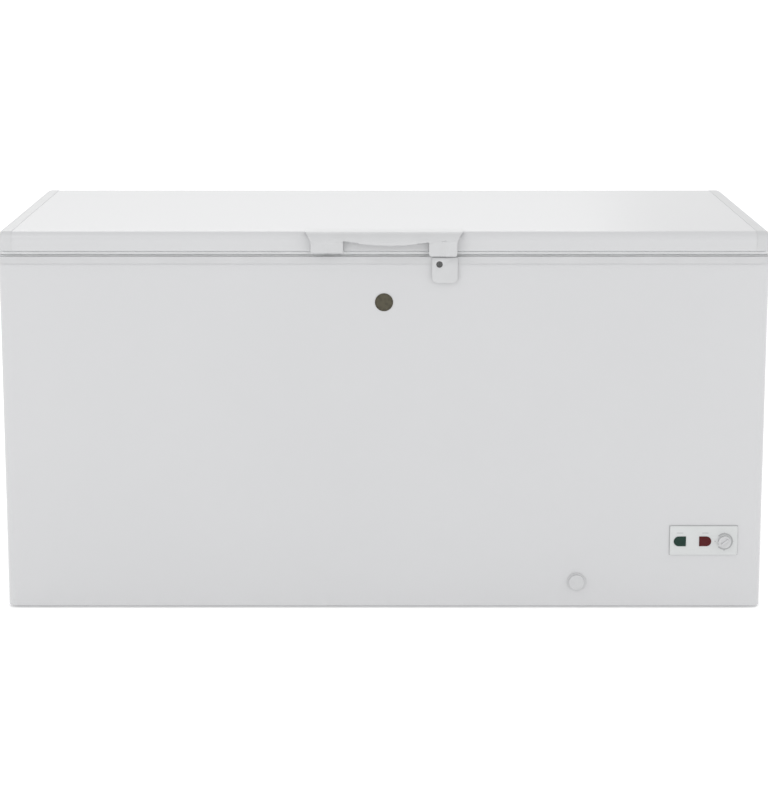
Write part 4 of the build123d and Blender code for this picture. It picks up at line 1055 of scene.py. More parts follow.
def ringed(rib: bpy.types.Mesh, count: int, centre: Sequence[float], slot: str) -> bpy.types.Mesh:
    """Copies of a rib, spaced evenly round an axis from front to back.

    Args:
        rib: one rib, placed as if the axis ran through the origin.
        count: how many copies there are.
        centre: where the axis and the origin come to lie.
        slot: the finish slot that they are painted from.

    Returns:
        The copies as one mesh.
    """
    values = {
        "Count": count,
        "Step Angle": 2 * math.pi / count,
        "Axis": BACKWARD,
        "Centre": tuple(centre),
        "Finish": FINISHES[slot].material(),
    }
    return turned_row().grow(rib, values)


def coil_spring() -> Pattern:
    """A compression spring up the Z axis, with one closed coil at each end.

    Returns:
        The tree.
    """
    titles = ("Turns", "Radius", "Height", "Wire Radius")
    tree = Pattern("coil_spring", dict.fromkeys(titles, SocketKind.NUMBER))
    radius = tree.taken("Radius")
    turns = tree.taken("Turns")
    spiral = {"Resolution": 24, "Rotations": turns, "Height": 0.0}
    spiral |= {"Start Radius": radius, "End Radius": radius}
    flat = tree.add("GeometryNodeCurveSpiral", None, spiral)
    along = tree.add("GeometryNodeSplineParameter", output="Factor")
    dead = turns.maths("DIVIDE", 1.0, turns)
    thick = tree.taken("Wire Radius") * 2.0
    rises = (
        (0.0, dead, thick),
        (dead, 1.0 - dead, tree.taken("Height") - thick * 2.0),
        (1.0 - dead, 1.0, thick),
    )
    height = None
    for start, stop, rise in rises:
        span = {"Value": along, "From Min": start, "From Max": stop, "To Max": rise}
        part = tree.add("ShaderNodeMapRange", {"clamp": True}, span)
        height = part if height is None else height + part
    lift = tree.add("ShaderNodeCombineXYZ", None, {"Z": height})
    risen = tree.add("GeometryNodeSetPosition", None, {"Geometry": flat, "Offset": lift})
    circle = {"Resolution": 10, "Radius": tree.taken("Wire Radius")}
    section = tree.add("GeometryNodeCurvePrimitiveCircle", {"mode": "RADIUS"}, circle)
    body = {"Curve": risen, "Profile Curve": section, "Fill Caps": True}
    return tree.end(tree.add("GeometryNodeCurveToMesh", None, body))


def screw_set() -> Pattern:
    """One screw stood on every point of the base along its "way" attribute, each turned by chance.

    Returns:
        The tree.
    """
    tree = Pattern("screw_set", {"Screw": SocketKind.OBJECT, "Seed": SocketKind.COUNT})
    points = tree.add("GeometryNodeMeshToPoints", {"mode": "VERTICES"}, {"Mesh": tree.taken("Geometry")})
    named = {"data_type": "FLOAT_VECTOR"}
    way = tree.add("GeometryNodeInputNamedAttribute", named, {"Name": "way"}, "Attribute")
    stood = tree.add("FunctionNodeAlignRotationToVector", {"axis": "Z"}, {"Vector": way})
    chance = {2: 0.0, 3: 2 * math.pi, "Seed": tree.taken("Seed")}
    angle = tree.add("FunctionNodeRandomValue", {"data_type": "FLOAT"}, chance, 1)
    spin = tree.add("FunctionNodeAxisAngleToRotation", None, {"Axis": (0, 0, 1), "Angle": angle})
    turn = tree.add("FunctionNodeRotateRotation", {"rotation_space": "LOCAL"}, {0: stood, 1: spin})
    screw = {"Object": tree.taken("Screw")}
    shape = tree.add("GeometryNodeObjectInfo", {"transform_space": "ORIGINAL"}, screw, "Geometry")
    many = {"Points": points, "Instance": shape, "Rotation": turn}
    return tree.end(tree.add("GeometryNodeInstanceOnPoints", None, many))


# ---------------------------------------------------------------- the lid
def ease(value: float) -> float:
    """0 below 0, 1 above 1, and a smooth rise between."""
    t = min(1.0, max(0.0, value))
    return t * t * (3.0 - 2.0 * t)


@dataclass
class Crease:
    """Where one leg of the handle sits back under the bar: a line between two (across, drop) places."""

    outer_mm: tuple[float, float]
    inner_mm: tuple[float, float]
    fade_mm: float
    soft_mm: float = 3.0

    def depth(self, x: float, drop: float) -> float:
        """How far, from 0 to 1, a point is set back.

        Args:
            x: the place across the lid, in millimetres.
            drop: the depth below the lid's top, in millimetres.

        Returns:
            The share of the setback.
        """
        span = self.inner_mm[0] - self.outer_mm[0]
        along = (x - self.outer_mm[0]) / span
        if along > 1.6:
            return 0.0
        line = self.outer_mm[1] + (self.inner_mm[1] - self.outer_mm[1]) * min(1.0, max(0.0, along))
        return ease((drop - line) / self.soft_mm) * ease(along * abs(span) / self.fade_mm)


@dataclass
class Handle:
    """The moulded pull handle: a soft hood over the lid's front edge, on two legs."""

    voxel_mm: float = 1.5
    sink_mm: float = 3.0
    smoothing: int = 9
    setback_mm: float = 2.2
    flush_mm: float = 0.05
    reach_mm: float = 4.0
    steepness: float = 1.6
    cover_half_mm: tuple[float, float] = (5.5, 8.5)
    cover_deep_mm: tuple[float, float] = (-0.5, 3.0)
    cover_edge_mm: float = 0.8
    cover_lean: float = 18.3
    cover_place_mm: tuple[float, float, float] = (1.5, 3.9, 26.5)
    dimple_mm: Profile = ((0.0, -1.0), (1.3, -1.0), (1.3, 0.2), (0.9, 0.5), (0.0, 0.5))
    dimple_place_mm: tuple[float, float, float] = (-1.5, -0.5, -4.5)
    creases: tuple[Crease, ...] = (
        Crease((-140.0, 13.0), (-87.0, 18.5), 22.0),
        Crease((136.0, 14.0), (96.0, 20.0), 7.0),
    )

    def build(self, room: Showroom) -> None:
        """Rounds the frame's handle all over, then sets its legs back under the bar.

        Args:
            room: where the pieces go.
        """
        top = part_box("lid_skin")[1].z
        shape = merged_copy(room.node("lid_handle"), flat_faces=False)
        for vert in shape.form.verts:
            if abs(vert.co.z - top) < self.flush_mm * MM:
                vert.co.z -= self.sink_mm * MM
        thing = in_scene("handle_block", shape.mesh("handle_block"))
        remesh = thing.modifiers.new("soften", "REMESH")
        remesh.mode = "VOXEL"
        remesh.voxel_size = self.voxel_mm * MM
        smooth = thing.modifiers.new("smooth", "SMOOTH")
        smooth.factor = 0.5
        smooth.iterations = self.smoothing
        mesh = evaluated(thing)
        self._set_legs_back(mesh)
        room.add("pull_handle", mesh, "cap_plastic", "lid", ["lid_handle"], crease=180.0)
        self._cover(room)

    def _set_legs_back(self, mesh: bpy.types.Mesh) -> None:
        """Moves the front of each leg back below its crease.

        Args:
            mesh: the handle's mesh.
        """
        front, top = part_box("lid_skin")[0].y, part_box("lid_skin")[1].z
        for vert in mesh.vertices:
            outward = max(0.0, -vert.normal.y)
            if vert.co.y > front - self.reach_mm * MM or outward == 0.0:
                continue
            drop = (top - vert.co.z) / MM
            deep = max(crease.depth(vert.co.x / MM, drop) for crease in self.creases)
            vert.co.y += deep * ease(outward * self.steepness) * self.setback_mm * MM

    def _cover(self, room: Showroom) -> None:
        """A small snap-in cover with a dimple, low on the right leg's sloping face.

        Args:
            room: where the pieces go.
        """
        low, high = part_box("lid_handle")
        keeper = centre_of(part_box("latch_keeper"))
        wide, tall = (half * MM for half in self.cover_half_mm)
        near, far = (depth * MM for depth in self.cover_deep_mm)
        shape = Shape()
        shape.prism([(-wide, -tall), (wide, -tall), (wide, tall), (-wide, tall)], near, far)
        shape.rounded(self.cover_edge_mm)
        shape.lathe(self.dimple_mm, 16, [part * MM for part in self.dimple_place_mm], FRONTWARD)
        mesh = shape.mesh("keeper_cover")
        across, back, down = (part * MM for part in self.cover_place_mm)
        place = Vector((keeper.x + across, low.y + back, high.z - down))
        lean = Matrix.Rotation(math.radians(self.cover_lean), 4, "X")
        mesh.transform(Matrix.Translation(place) @ lean)
        room.add("keeper_cover", mesh, "cap_plastic", "lid")


@dataclass
class LidSeal:
    """The magnetic seal: a rounded bellows between two thin necks, run round the lid."""

    corner_mm: float = 18.0
    section: tuple[tuple[float, float], ...] = (
        (7.5, 1.0),
        (7.5, 0.89),
        (2.6, 0.84),
        (1.7, 0.76),
        (1.5, 0.62),
        (1.6, 0.44),
        (2.2, 0.35),
        (3.2, 0.31),
        (7.0, 0.28),
        (7.0, 0.16),
        (3.2, 0.13),
        (2.6, 0.08),
        (2.6, 0.0),
        (18.0, 0.0),
        (18.8, 0.06),
        (18.6, 0.22),
        (16.8, 0.34),
        (16.6, 0.44),
        (18.8, 0.56),
        (19.6, 0.68),
        (19.4, 0.84),
        (18.0, 1.0),
    )

    def build(self, room: Showroom) -> None:
        """Runs the section round the cabinet's outline.

        Args:
            room: where the pieces go.
        """
        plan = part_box("outer_wrap")
        low, high = (corner.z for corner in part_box("lid_gasket"))
        shape = Shape()
        rings = []
        for inset, share in self.section:
            z = low + share * (high - low)
            rings.append(shape.ring(plan_ring(plan, inset * MM, self.corner_mm * MM, z)))
        shape.skin([*rings, rings[0]])
        mesh = shape.mesh("lid_seal")
        room.add("lid_seal", mesh, "seal_rubber", "lid", ["lid_gasket"], crease=50.0)


@dataclass
class LidLining:
    """The vacuum-formed inside of the lid: a flange, a raised middle with soft edges, and a sunk panel."""

    sheet_mm: float = 0.9
    flange_corner_mm: float = 18.0
    middle_corner_mm: float = 52.0
    section_mm: tuple[tuple[float, float], ...] = (
        (18.5, 22.9),
        (21.0, 22.3),
        (22.8, 20.6),
        (23.8, 18.0),
        (24.6, 6.0),
        (25.6, 2.6),
        (27.4, 0.7),
        (30.5, 0.0),
        (78.0, 0.0),
        (80.0, 0.4),
        (83.0, 2.2),
        (86.0, 2.6),
    )

    edge_inset_mm: float = 0.5
    edge_height_mm: float = 22.9
    core_under_mm: Profile = ((90.0, 4.5), (27.5, 4.5), (25.5, 22.5), (24.5, 24.0))
    core_over_mm: Profile = ((1.5, 24.5), (1.5, 40.0), (4.5, 52.0), (11.0, 59.0), (22.0, 61.5))

    def build(self, room: Showroom) -> None:
        """Steps in from the lid's edge, both under and over the sheet.

        Args:
            room: where the pieces go.
        """
        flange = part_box("lid_liner")
        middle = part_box("inner_liner")
        shape = Shape()
        sides = []
        for lift in (0.0, self.sheet_mm):
            edge_z = flange[0].z + (self.edge_height_mm + lift) * MM
            inset, corner = self.edge_inset_mm * MM, self.flange_corner_mm * MM
            rings = [shape.ring(plan_ring(flange, inset, corner, edge_z))]
            for inset, height in self.section_mm:
                z = flange[0].z + (height + lift) * MM
                away = (inset + lift) * MM
                rings.append(shape.ring(plan_ring(middle, away, self.middle_corner_mm * MM, z)))
            shape.skin(rings)
            shape.close(rings[-1])
            sides.append(rings[0])
        shape.bridge(*sides)
        mesh = shape.mesh("lid_lining")
        room.add("lid_lining", mesh, "liner", "lid", ["lid_liner"], crease=30.0)
        self._core(room, flange, middle)

    def _core(self, room: Showroom, flange: Box, middle: Box) -> None:
        """The foam core, which leaves room for the sunk panel.

        Args:
            room: where the pieces go.
            flange: the lining's box.
            middle: the food compartment's box.
        """
        shape = Shape()
        rings = []
        halves = (
            (middle, self.middle_corner_mm, self.core_under_mm),
            (flange, self.flange_corner_mm, self.core_over_mm),
        )
        for box, corner_mm, section in halves:
            for inset, height in section:
                z = flange[0].z + height * MM
                rings.append(shape.ring(plan_ring(box, inset * MM, corner_mm * MM, z)))
        shape.skin(rings)
        shape.close(rings[0][::-1])
        shape.close(rings[-1])
        room.add("lid_core", shape.mesh("lid_core"), "foam", "lid", ["lid_foam"])


# ---------------------------------------------------------------- screws
@dataclass
class Screws:
    """Pan-head screws with a cross recess, one on each of a frame node's solids."""

    node: str
    body: str
    slot: str = "bright_steel"
    crown: Profile = ((0.45, 0.06), (0.8, 0.28), (0.96, 0.6), (1.0, 1.0))

    def build(self, room: Showroom) -> None:
        """Sorts the node's solids by head size and stands a screw on each.

        Args:
            room: where the pieces go.
        """
        sizes: dict[float, list[Box]] = {}
        for box in islands(room.node(self.node)):
            sizes.setdefault(round((box[1].x - box[0].x) / 2, 4), []).append(box)
        for number, (radius, boxes) in enumerate(sorted(sizes.items()), 1):
            screw = in_scene("screw", self._screw(radius))
            base = bpy.data.meshes.new("screw_places")
            base.from_pydata([(centre_of(box).x, box[1].y, centre_of(box).z) for box in boxes], [], [])
            way = base.attributes.new("way", "FLOAT_VECTOR", "POINT")
            way.data.foreach_set("vector", list(BACKWARD) * len(boxes))
            values = {"Screw": screw, "Seed": SEED, "Finish": FINISHES[self.slot].material()}
            mesh = screw_set().grow(base, values)
            bpy.data.objects.remove(screw)
            room.add(f"{self.node}_{number}", mesh, self.slot, self.body, [self.node])

    def _screw(self, radius: float) -> bpy.types.Mesh:
        """One screw under the origin, with its head's crown at the origin.

        Args:
            radius: the head's radius, in metres.

        Returns:
            The screw's mesh.
        """
        tall = radius * 0.5
        profile = [(0.0, 0.0)]
        profile += [(radius * x, -tall * z) for x, z in self.crown]
        profile += [(radius * 0.5, -tall), (radius * 0.5, -tall * 2.2), (0.0, -tall * 2.6)]
        head = Shape()
        head.turned(profile, 24, Matrix.Identity(4))
        cross = Shape()
        long, thin, deep = radius * 0.5, radius * 0.13, tall * 0.75
        cross.block((-long, -thin, -deep), (long, thin, tall))
        bars = Shape()
        bars.block((-thin, -long, -deep), (thin, long, tall))
        return carved(head.mesh("screw_head"), [cross.mesh("cross_bar"), bars.mesh("cross_bar")])


def carved(mesh: bpy.types.Mesh, cutters: Sequence[bpy.types.Mesh]) -> bpy.types.Mesh:
    """Cuts closed shapes out of a closed mesh.

    Args:
        mesh: the mesh to cut.
        cutters: the shapes to take away.

    Returns:
        The cut mesh.
    """
    thing = in_scene("carved", mesh)
    tools = [in_scene("cutter", cutter) for cutter in cutters]
    for tool in tools:
        cut = thing.modifiers.new("cut", "BOOLEAN")
        cut.operation = "DIFFERENCE"
        cut.solver = "EXACT"
        cut.object = tool
    result = evaluated(thing)
    for tool in tools:
        bpy.data.objects.remove(tool)
    return result


# ---------------------------------------------------------------- hinges
@dataclass
class BalanceSprings:
    """The two hinge springs, wound once at the frame's length; on the real freezer they shorten as their
    plungers are pushed down.
    """

    wire_mm: float = 2.0
    turns: float = 12.0

    def build(self, room: Showroom) -> None:
        """Winds each spring in its frame node's place, tied to no body.

        Args:
            room: where the pieces go.
        """
        for side in ("left", "right"):
            node = f"hinge_spring_{side}"
            low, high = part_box(node)
            wire = self.wire_mm * MM
            values = {
                "Turns": self.turns,
                "Radius": (high.x - low.x) / 2 - wire,
                "Height": high.z - low.z - 2 * wire,
                "Wire Radius": wire,
                "Finish": FINISHES["bright_steel"].material(),
            }
            mesh = coil_spring().grow(bpy.data.meshes.new("spring_base"), values)
            middle = centre_of((low, high))
            mesh.transform(Matrix.Translation((middle.x, middle.y, low.z + wire)))
            name = f"balance_spring_{side}"
            spring = room.add(name, mesh, "bright_steel", None, [node], crease=60.0)
            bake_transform(spring)


# ---------------------------------------------------------------- controls on the front
@dataclass
class ControlStrip:
    """The control panel, its two lenses, its printed marks and the thermostat's knob."""

    panel_edge_mm: float = 0.9
    lens_edge_mm: float = 1.3
    # Painted shade round the panel: the strip's reach at the top and left, at the right and bottom, and its
    # depth.
    shadow_strip_mm: tuple[float, float, float] = (1.1, 0.5, 0.8)
    print_mm: float = 0.15
    tick_gap_mm: float = 0.2
    bite_mm: float = 0.1
    ticks: tuple[tuple[float, float, float], ...] = (
        (90.0, 2.2, 1.4),
        (0.0, 1.8, 1.2),
        (-90.0, 3.6, 3.0),
        (180.0, 3.4, 3.0),
    )
    dash_mm: tuple[float, float, float] = (7.0, 5.2, 1.3)
    arc_mm: tuple[float, float] = (15.9, 18.8)
    arc_turn: tuple[float, float] = (-137.0, 137.0)
    arc_steps: int = 56
    flutes: int = 24
    flute_mm: float = 0.42
    knob_tall_mm: float = 11.0
    knob_mm: Profile = (
        (0.0, 8.6),
        (9.5, 8.8),
        (11.2, 9.6),
        (12.6, 9.6),
        (13.3, 9.0),
        (13.4, 0.0),
        (3.0, 0.0),
    )
    grip_mm: tuple[float, float, float] = (9.2, 3.0, 1.9)
    grip_edge_mm: float = 1.2
    grip_turn: float = -38.0

    def build(self, room: Showroom) -> None:
        """Builds every piece of the strip.

        Args:
            room: where the pieces go.
        """
        pieces = (
            ("control_panel", "panel_plastic", self.panel_edge_mm),
            ("power_lens", "green_lens", self.lens_edge_mm),
            ("alarm_lens", "red_lens", self.lens_edge_mm),
        )
        for name, slot, edge in pieces:
            shape = merged_copy(room.node(name)).rounded(edge, 3)
            room.add(f"{name}_moulding", shape.mesh(name), slot, "cabinet", [name])
        self._shadow_strip(room)
        self._marks(room)
        self._knob(room)

    def _shadow_strip(self, room: Showroom) -> None:
        """A dark strip behind the panel that shows as a line round it: painted shade for the gap round the
        panel, wider at the top and left where the shadow falls.

        Args:
            room: where the pieces go.
        """
        low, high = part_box("control_panel")
        wide, thin, thick = (part * MM for part in self.shadow_strip_mm)
        outer = [(low.x - wide, low.z - thin), (high.x + thin, low.z - thin)]
        outer += [(high.x + thin, high.z + wide), (low.x - wide, high.z + wide)]
        shape = Shape()
        shape.prism(outer, high.y - thick, high.y)
        shape.rounded(0.3, 1)
        # The strip is painted shade: a dark sheet where the gap round the panel lies in shadow.
        room.add("panel_seal", shape.mesh("panel_seal"), "grey_plastic", "cabinet")

    def _marks(self, room: Showroom) -> None:
        """The dial's arc, its three ticks, and a plain dash over each lens.

        Args:
            room: where the pieces go.
        """
        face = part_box("control_panel")[0].y
        near, far = face - self.print_mm * MM, face + self.bite_mm * MM
        knob = centre_of(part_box("thermostat_knob"))
        shape = Shape()
        self._arc(shape, knob, near, far)
        for turn, long, wide in self.ticks:
            angle = math.radians(turn)
            out = Vector((math.cos(angle), 0.0, math.sin(angle)))
            side = Vector((-out.z, 0.0, out.x)) * wide * MM / 2
            start = knob + out * (self.arc_mm[1] + self.tick_gap_mm) * MM
            tip = knob + out * (self.arc_mm[1] + long) * MM
            outline = [(spot.x, spot.z) for spot in (start - side, start + side, tip)]
            shape.prism(outline, near, far)
        wide, up, tall = (part * MM for part in self.dash_mm)
        for name in ("power_lens", "alarm_lens"):
            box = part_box(name)
            middle, foot = centre_of(box).x, box[1].z + up
            shape.block((middle - wide, near, foot), (middle + wide, far, foot + tall))
        room.add("panel_marks", shape.mesh("panel_marks"), "grey_plastic", "cabinet")

    def _arc(self, shape: Shape, centre: Vector, near: float, far: float) -> None:
        """Adds the dial's arc as a closed band.

        Args:
            shape: the shape that takes the band.
            centre: the knob's middle.
            near: the band's front, in Y.
            far: the band's back, in Y.
        """
        start, stop = (math.radians(turn) for turn in self.arc_turn)
        rings = []
        for i in range(self.arc_steps + 1):
            angle = start + (stop - start) * i / self.arc_steps
            out = Vector((math.cos(angle), 0.0, math.sin(angle)))
            inner, outer = (centre + out * radius * MM for radius in self.arc_mm)
            corners = [(inner, near), (outer, near), (outer, far), (inner, far)]
            rings.append(shape.ring((spot.x, y, spot.z) for spot, y in corners))
        shape.skin(rings)
        shape.close(rings[0][::-1])
        shape.close(rings[-1])

    def _knob(self, room: Showroom) -> None:
        """The round knob, with a fluted rim, a dished face and a grip bar across it.

        Args:
            room: where the pieces go.
        """
        low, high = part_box("thermostat_knob")
        middle = centre_of((low, high))
        stem = -(high.y - low.y) / MM + self.knob_tall_mm
        base = Vector((middle.x, low.y + self.knob_tall_mm * MM, middle.z))
        shape = Shape()
        shaft = self.knob_mm[-1][0]
        shape.lathe([*self.knob_mm, (shaft, stem), (0.0, stem)], 64, base, FRONTWARD)
        knob = shape.mesh("knob")
        thick = self.flute_mm
        flute = [(0.0, 0.0), (thick, 0.0), (thick, 8.4), (0.2, 8.9), (0.0, 8.9)]
        rib = Shape()
        rib.lathe(flute, 8, ((half_width_mm((low, high)) - thick) * MM, 0.0, 0.0), FRONTWARD)
        ribs = ringed(rib.mesh("knob_rib"), self.flutes, base, "cap_plastic")
        room.add("knob_flutes", ribs, "cap_plastic", "thermostat knob")
        room.add("dial_knob", knob, "cap_plastic", "thermostat knob", ["thermostat_knob"])
        self._grip(room, middle, low.y)

    def _grip(self, room: Showroom, middle: Vector, front: float) -> None:
        """The grip bar, turned to where it points.

        Args:
            room: where the pieces go.
            middle: the knob's middle.
            front: the knob's front, in Y.
        """
        lean = Matrix.Translation(middle) @ Matrix.Rotation(math.radians(self.grip_turn), 4, "Y")
        long, deep, thin = (part * MM for part in self.grip_mm)
        bar = Shape()
        bar.block((-long, 0.0, -thin), (long, deep, thin))
        bar.rounded(self.grip_edge_mm, 3)
        grip = bar.mesh("grip_bar")
        grip.transform(Matrix.Translation((0.0, front - middle.y, 0.0)))
        grip.transform(lean)
        room.add("knob_grip", grip, "cap_plastic", "thermostat knob")


@dataclass
class Lock:
    """The key lock below the handle: its softened housing and a barrel with a keyway."""

    housing_edge_mm: float = 0.9
    barrel_sides: int = 48
    lip_mm: tuple[float, float, float, float] = (0.5, 1.5, 1.9, 0.7)
    keyway_mm: tuple[float, float, float] = (0.75, 6.0, 3.6)

    def build(self, room: Showroom) -> None:
        """Builds the housing and the barrel.

        Args:
            room: where the pieces go.
        """
        housing = merged_copy(room.node("lock_housing")).rounded(self.housing_edge_mm, 2)
        room.add("lock_plate", housing.mesh("lock_plate"), "cap_plastic", "cabinet", ["lock_housing"])
        low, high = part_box("lock_cylinder")
        middle = centre_of((low, high))
        radius, long = (high.x - low.x) / 2, high.y - low.y
        edge, lip, dish, sunk = (part * MM for part in self.lip_mm)
        profile = [(0.0, 0.0), (radius, 0.0), (radius, long - edge), (radius - edge, long)]
        profile += [(radius - lip, long), (radius - dish, long - sunk), (0.0, long - sunk)]
        barrel = Shape()
        barrel.turned(profile, self.barrel_sides, facing((middle.x, high.y, middle.z), FRONTWARD))
        thin, deep, tall = (part * MM for part in self.keyway_mm)
        keyway = Shape()
        keyway.block(
            (middle.x - thin, low.y - MM, middle.z - tall),
            (middle.x + thin, low.y + deep, middle.z + tall),
        )
        mesh = carved(barrel.mesh("barrel"), [keyway.mesh("keyway")])
        # The barrel's steel is darkened far below bright steel: painted shade for the barrel sunk in its
        # housing and its keyway.
        dark = BareMetal("dark_nickel", (0.13, 0.13, 0.13), 0.45)
        room.add("lock_barrel", mesh, "bright_steel", "lock", ["lock_cylinder"], finish=dark)


@dataclass
class Badge:
    """The bare round badge: a turned disc with a raised rim and a low crown."""

    sides: int = 96

    def build(self, room: Showroom) -> None:
        """Turns the disc.

        Args:
            room: where the pieces go.
        """
        low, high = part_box("badge")
        middle = centre_of((low, high))
        radius, thick = half_width_mm((low, high)), (high.y - low.y) / MM
        profile = [(0.0, 0.0), (radius, 0.0), (radius, thick - 0.6), (radius - 0.5, thick - 0.1)]
        profile += [(radius - 0.9, thick), (radius - 1.5, thick), (radius - 1.9, thick - 0.5)]
        profile += [(radius * 0.7, thick - 0.32), (radius * 0.35, thick - 0.2), (0.0, thick - 0.15)]
        shape = Shape()
        shape.lathe(profile, self.sides, (middle.x, high.y, middle.z), FRONTWARD)
        room.add("badge_disc", shape.mesh("badge_disc"), "badge_face", "cabinet", ["badge"])


# ---------------------------------------------------------------- the defrost drain
@dataclass
class Drain:
    """The drain's outer cap with its finger ridges, and the plug in the compartment's floor."""

    ridges: int = 36
    ridge_mm: float = 0.45
    cap_wall_mm: float = 2.4
    stem_mm: float = 7.4

    def build(self, room: Showroom) -> None:
        """Builds the bezel, the cap, its ridges and the inner plug.

        Args:
            room: where the pieces go.
        """
        bezel = merged_copy(room.node("drain_bezel")).rounded(0.7, 2)
        room.add("drain_ring", bezel.mesh("drain_ring"), "cap_plastic", "cabinet", ["drain_bezel"])
        self._cap(room)
        self._plug(room)

    def _cap(self, room: Showroom) -> None:
        """A shallow dished cap.

        Args:
            room: where the pieces go.
        """
        low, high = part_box("drain_cap")
        middle = centre_of((low, high))
        radius, tall = half_width_mm((low, high)), (high.y - low.y) / MM
        inside = radius - self.cap_wall_mm - 1.6
        profile = [(0.0, tall - self.cap_wall_mm), (inside, tall - self.cap_wall_mm), (inside, 0.0)]
        profile += [(radius - 0.8, 0.0), (radius - 0.4, 0.4), (radius - 0.4, tall - 1.2)]
        profile += [(radius - 1.0, tall - 0.3), (radius - 2.0, tall), (radius - 3.4, tall)]
        profile += [(radius - 4.2, tall - 0.5), (0.0, tall - 0.8)]
        shape = Shape()
        shape.lathe(profile, 64, (middle.x, high.y, middle.z), FRONTWARD)
        room.add("drain_lid", shape.mesh("drain_lid"), "cap_plastic", "drain cap", ["drain_cap"])
        rib = Shape()
        thick = self.ridge_mm
        ridge = [(0.0, 0.6), (thick, 0.6), (thick, tall - 1.8), (0.0, tall - 1.4)]
        rib.lathe(ridge, 8, ((radius - thick) * MM, 0.0, 0.0), FRONTWARD)
        centre = (middle.x, high.y, middle.z)
        ridges = ringed(rib.mesh("cap_ridge"), self.ridges, centre, "cap_plastic")
        room.add("drain_lid_ridges", ridges, "cap_plastic", "drain cap")

    def _plug(self, room: Showroom) -> None:
        """The inner plug: a stem under a low dished head with a pull nub.

        Args:
            room: where the pieces go.
        """
        low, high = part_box("drain_plug")
        middle = centre_of((low, high))
        radius, tall = half_width_mm((low, high)), (high.z - low.z) / MM
        stem = self.stem_mm
        profile = [(0.0, 0.0), (stem - 1.2, 0.0), (stem, 1.4), (stem, tall - 4.0), (radius - 0.5, tall - 4.0)]
        profile += [(radius, tall - 3.5), (radius, tall - 2.4), (radius - 1.2, tall - 1.8)]
        profile += [(5.0, tall - 2.2), (4.2, tall - 1.8), (3.8, tall - 0.5), (2.8, tall), (0.0, tall)]
        shape = Shape()
        shape.lathe(profile, 48, (middle.x, middle.y, low.z), UPWARD)
        room.add("floor_plug", shape.mesh("floor_plug"), "black_rubber", "drain plug", ["drain_plug"])


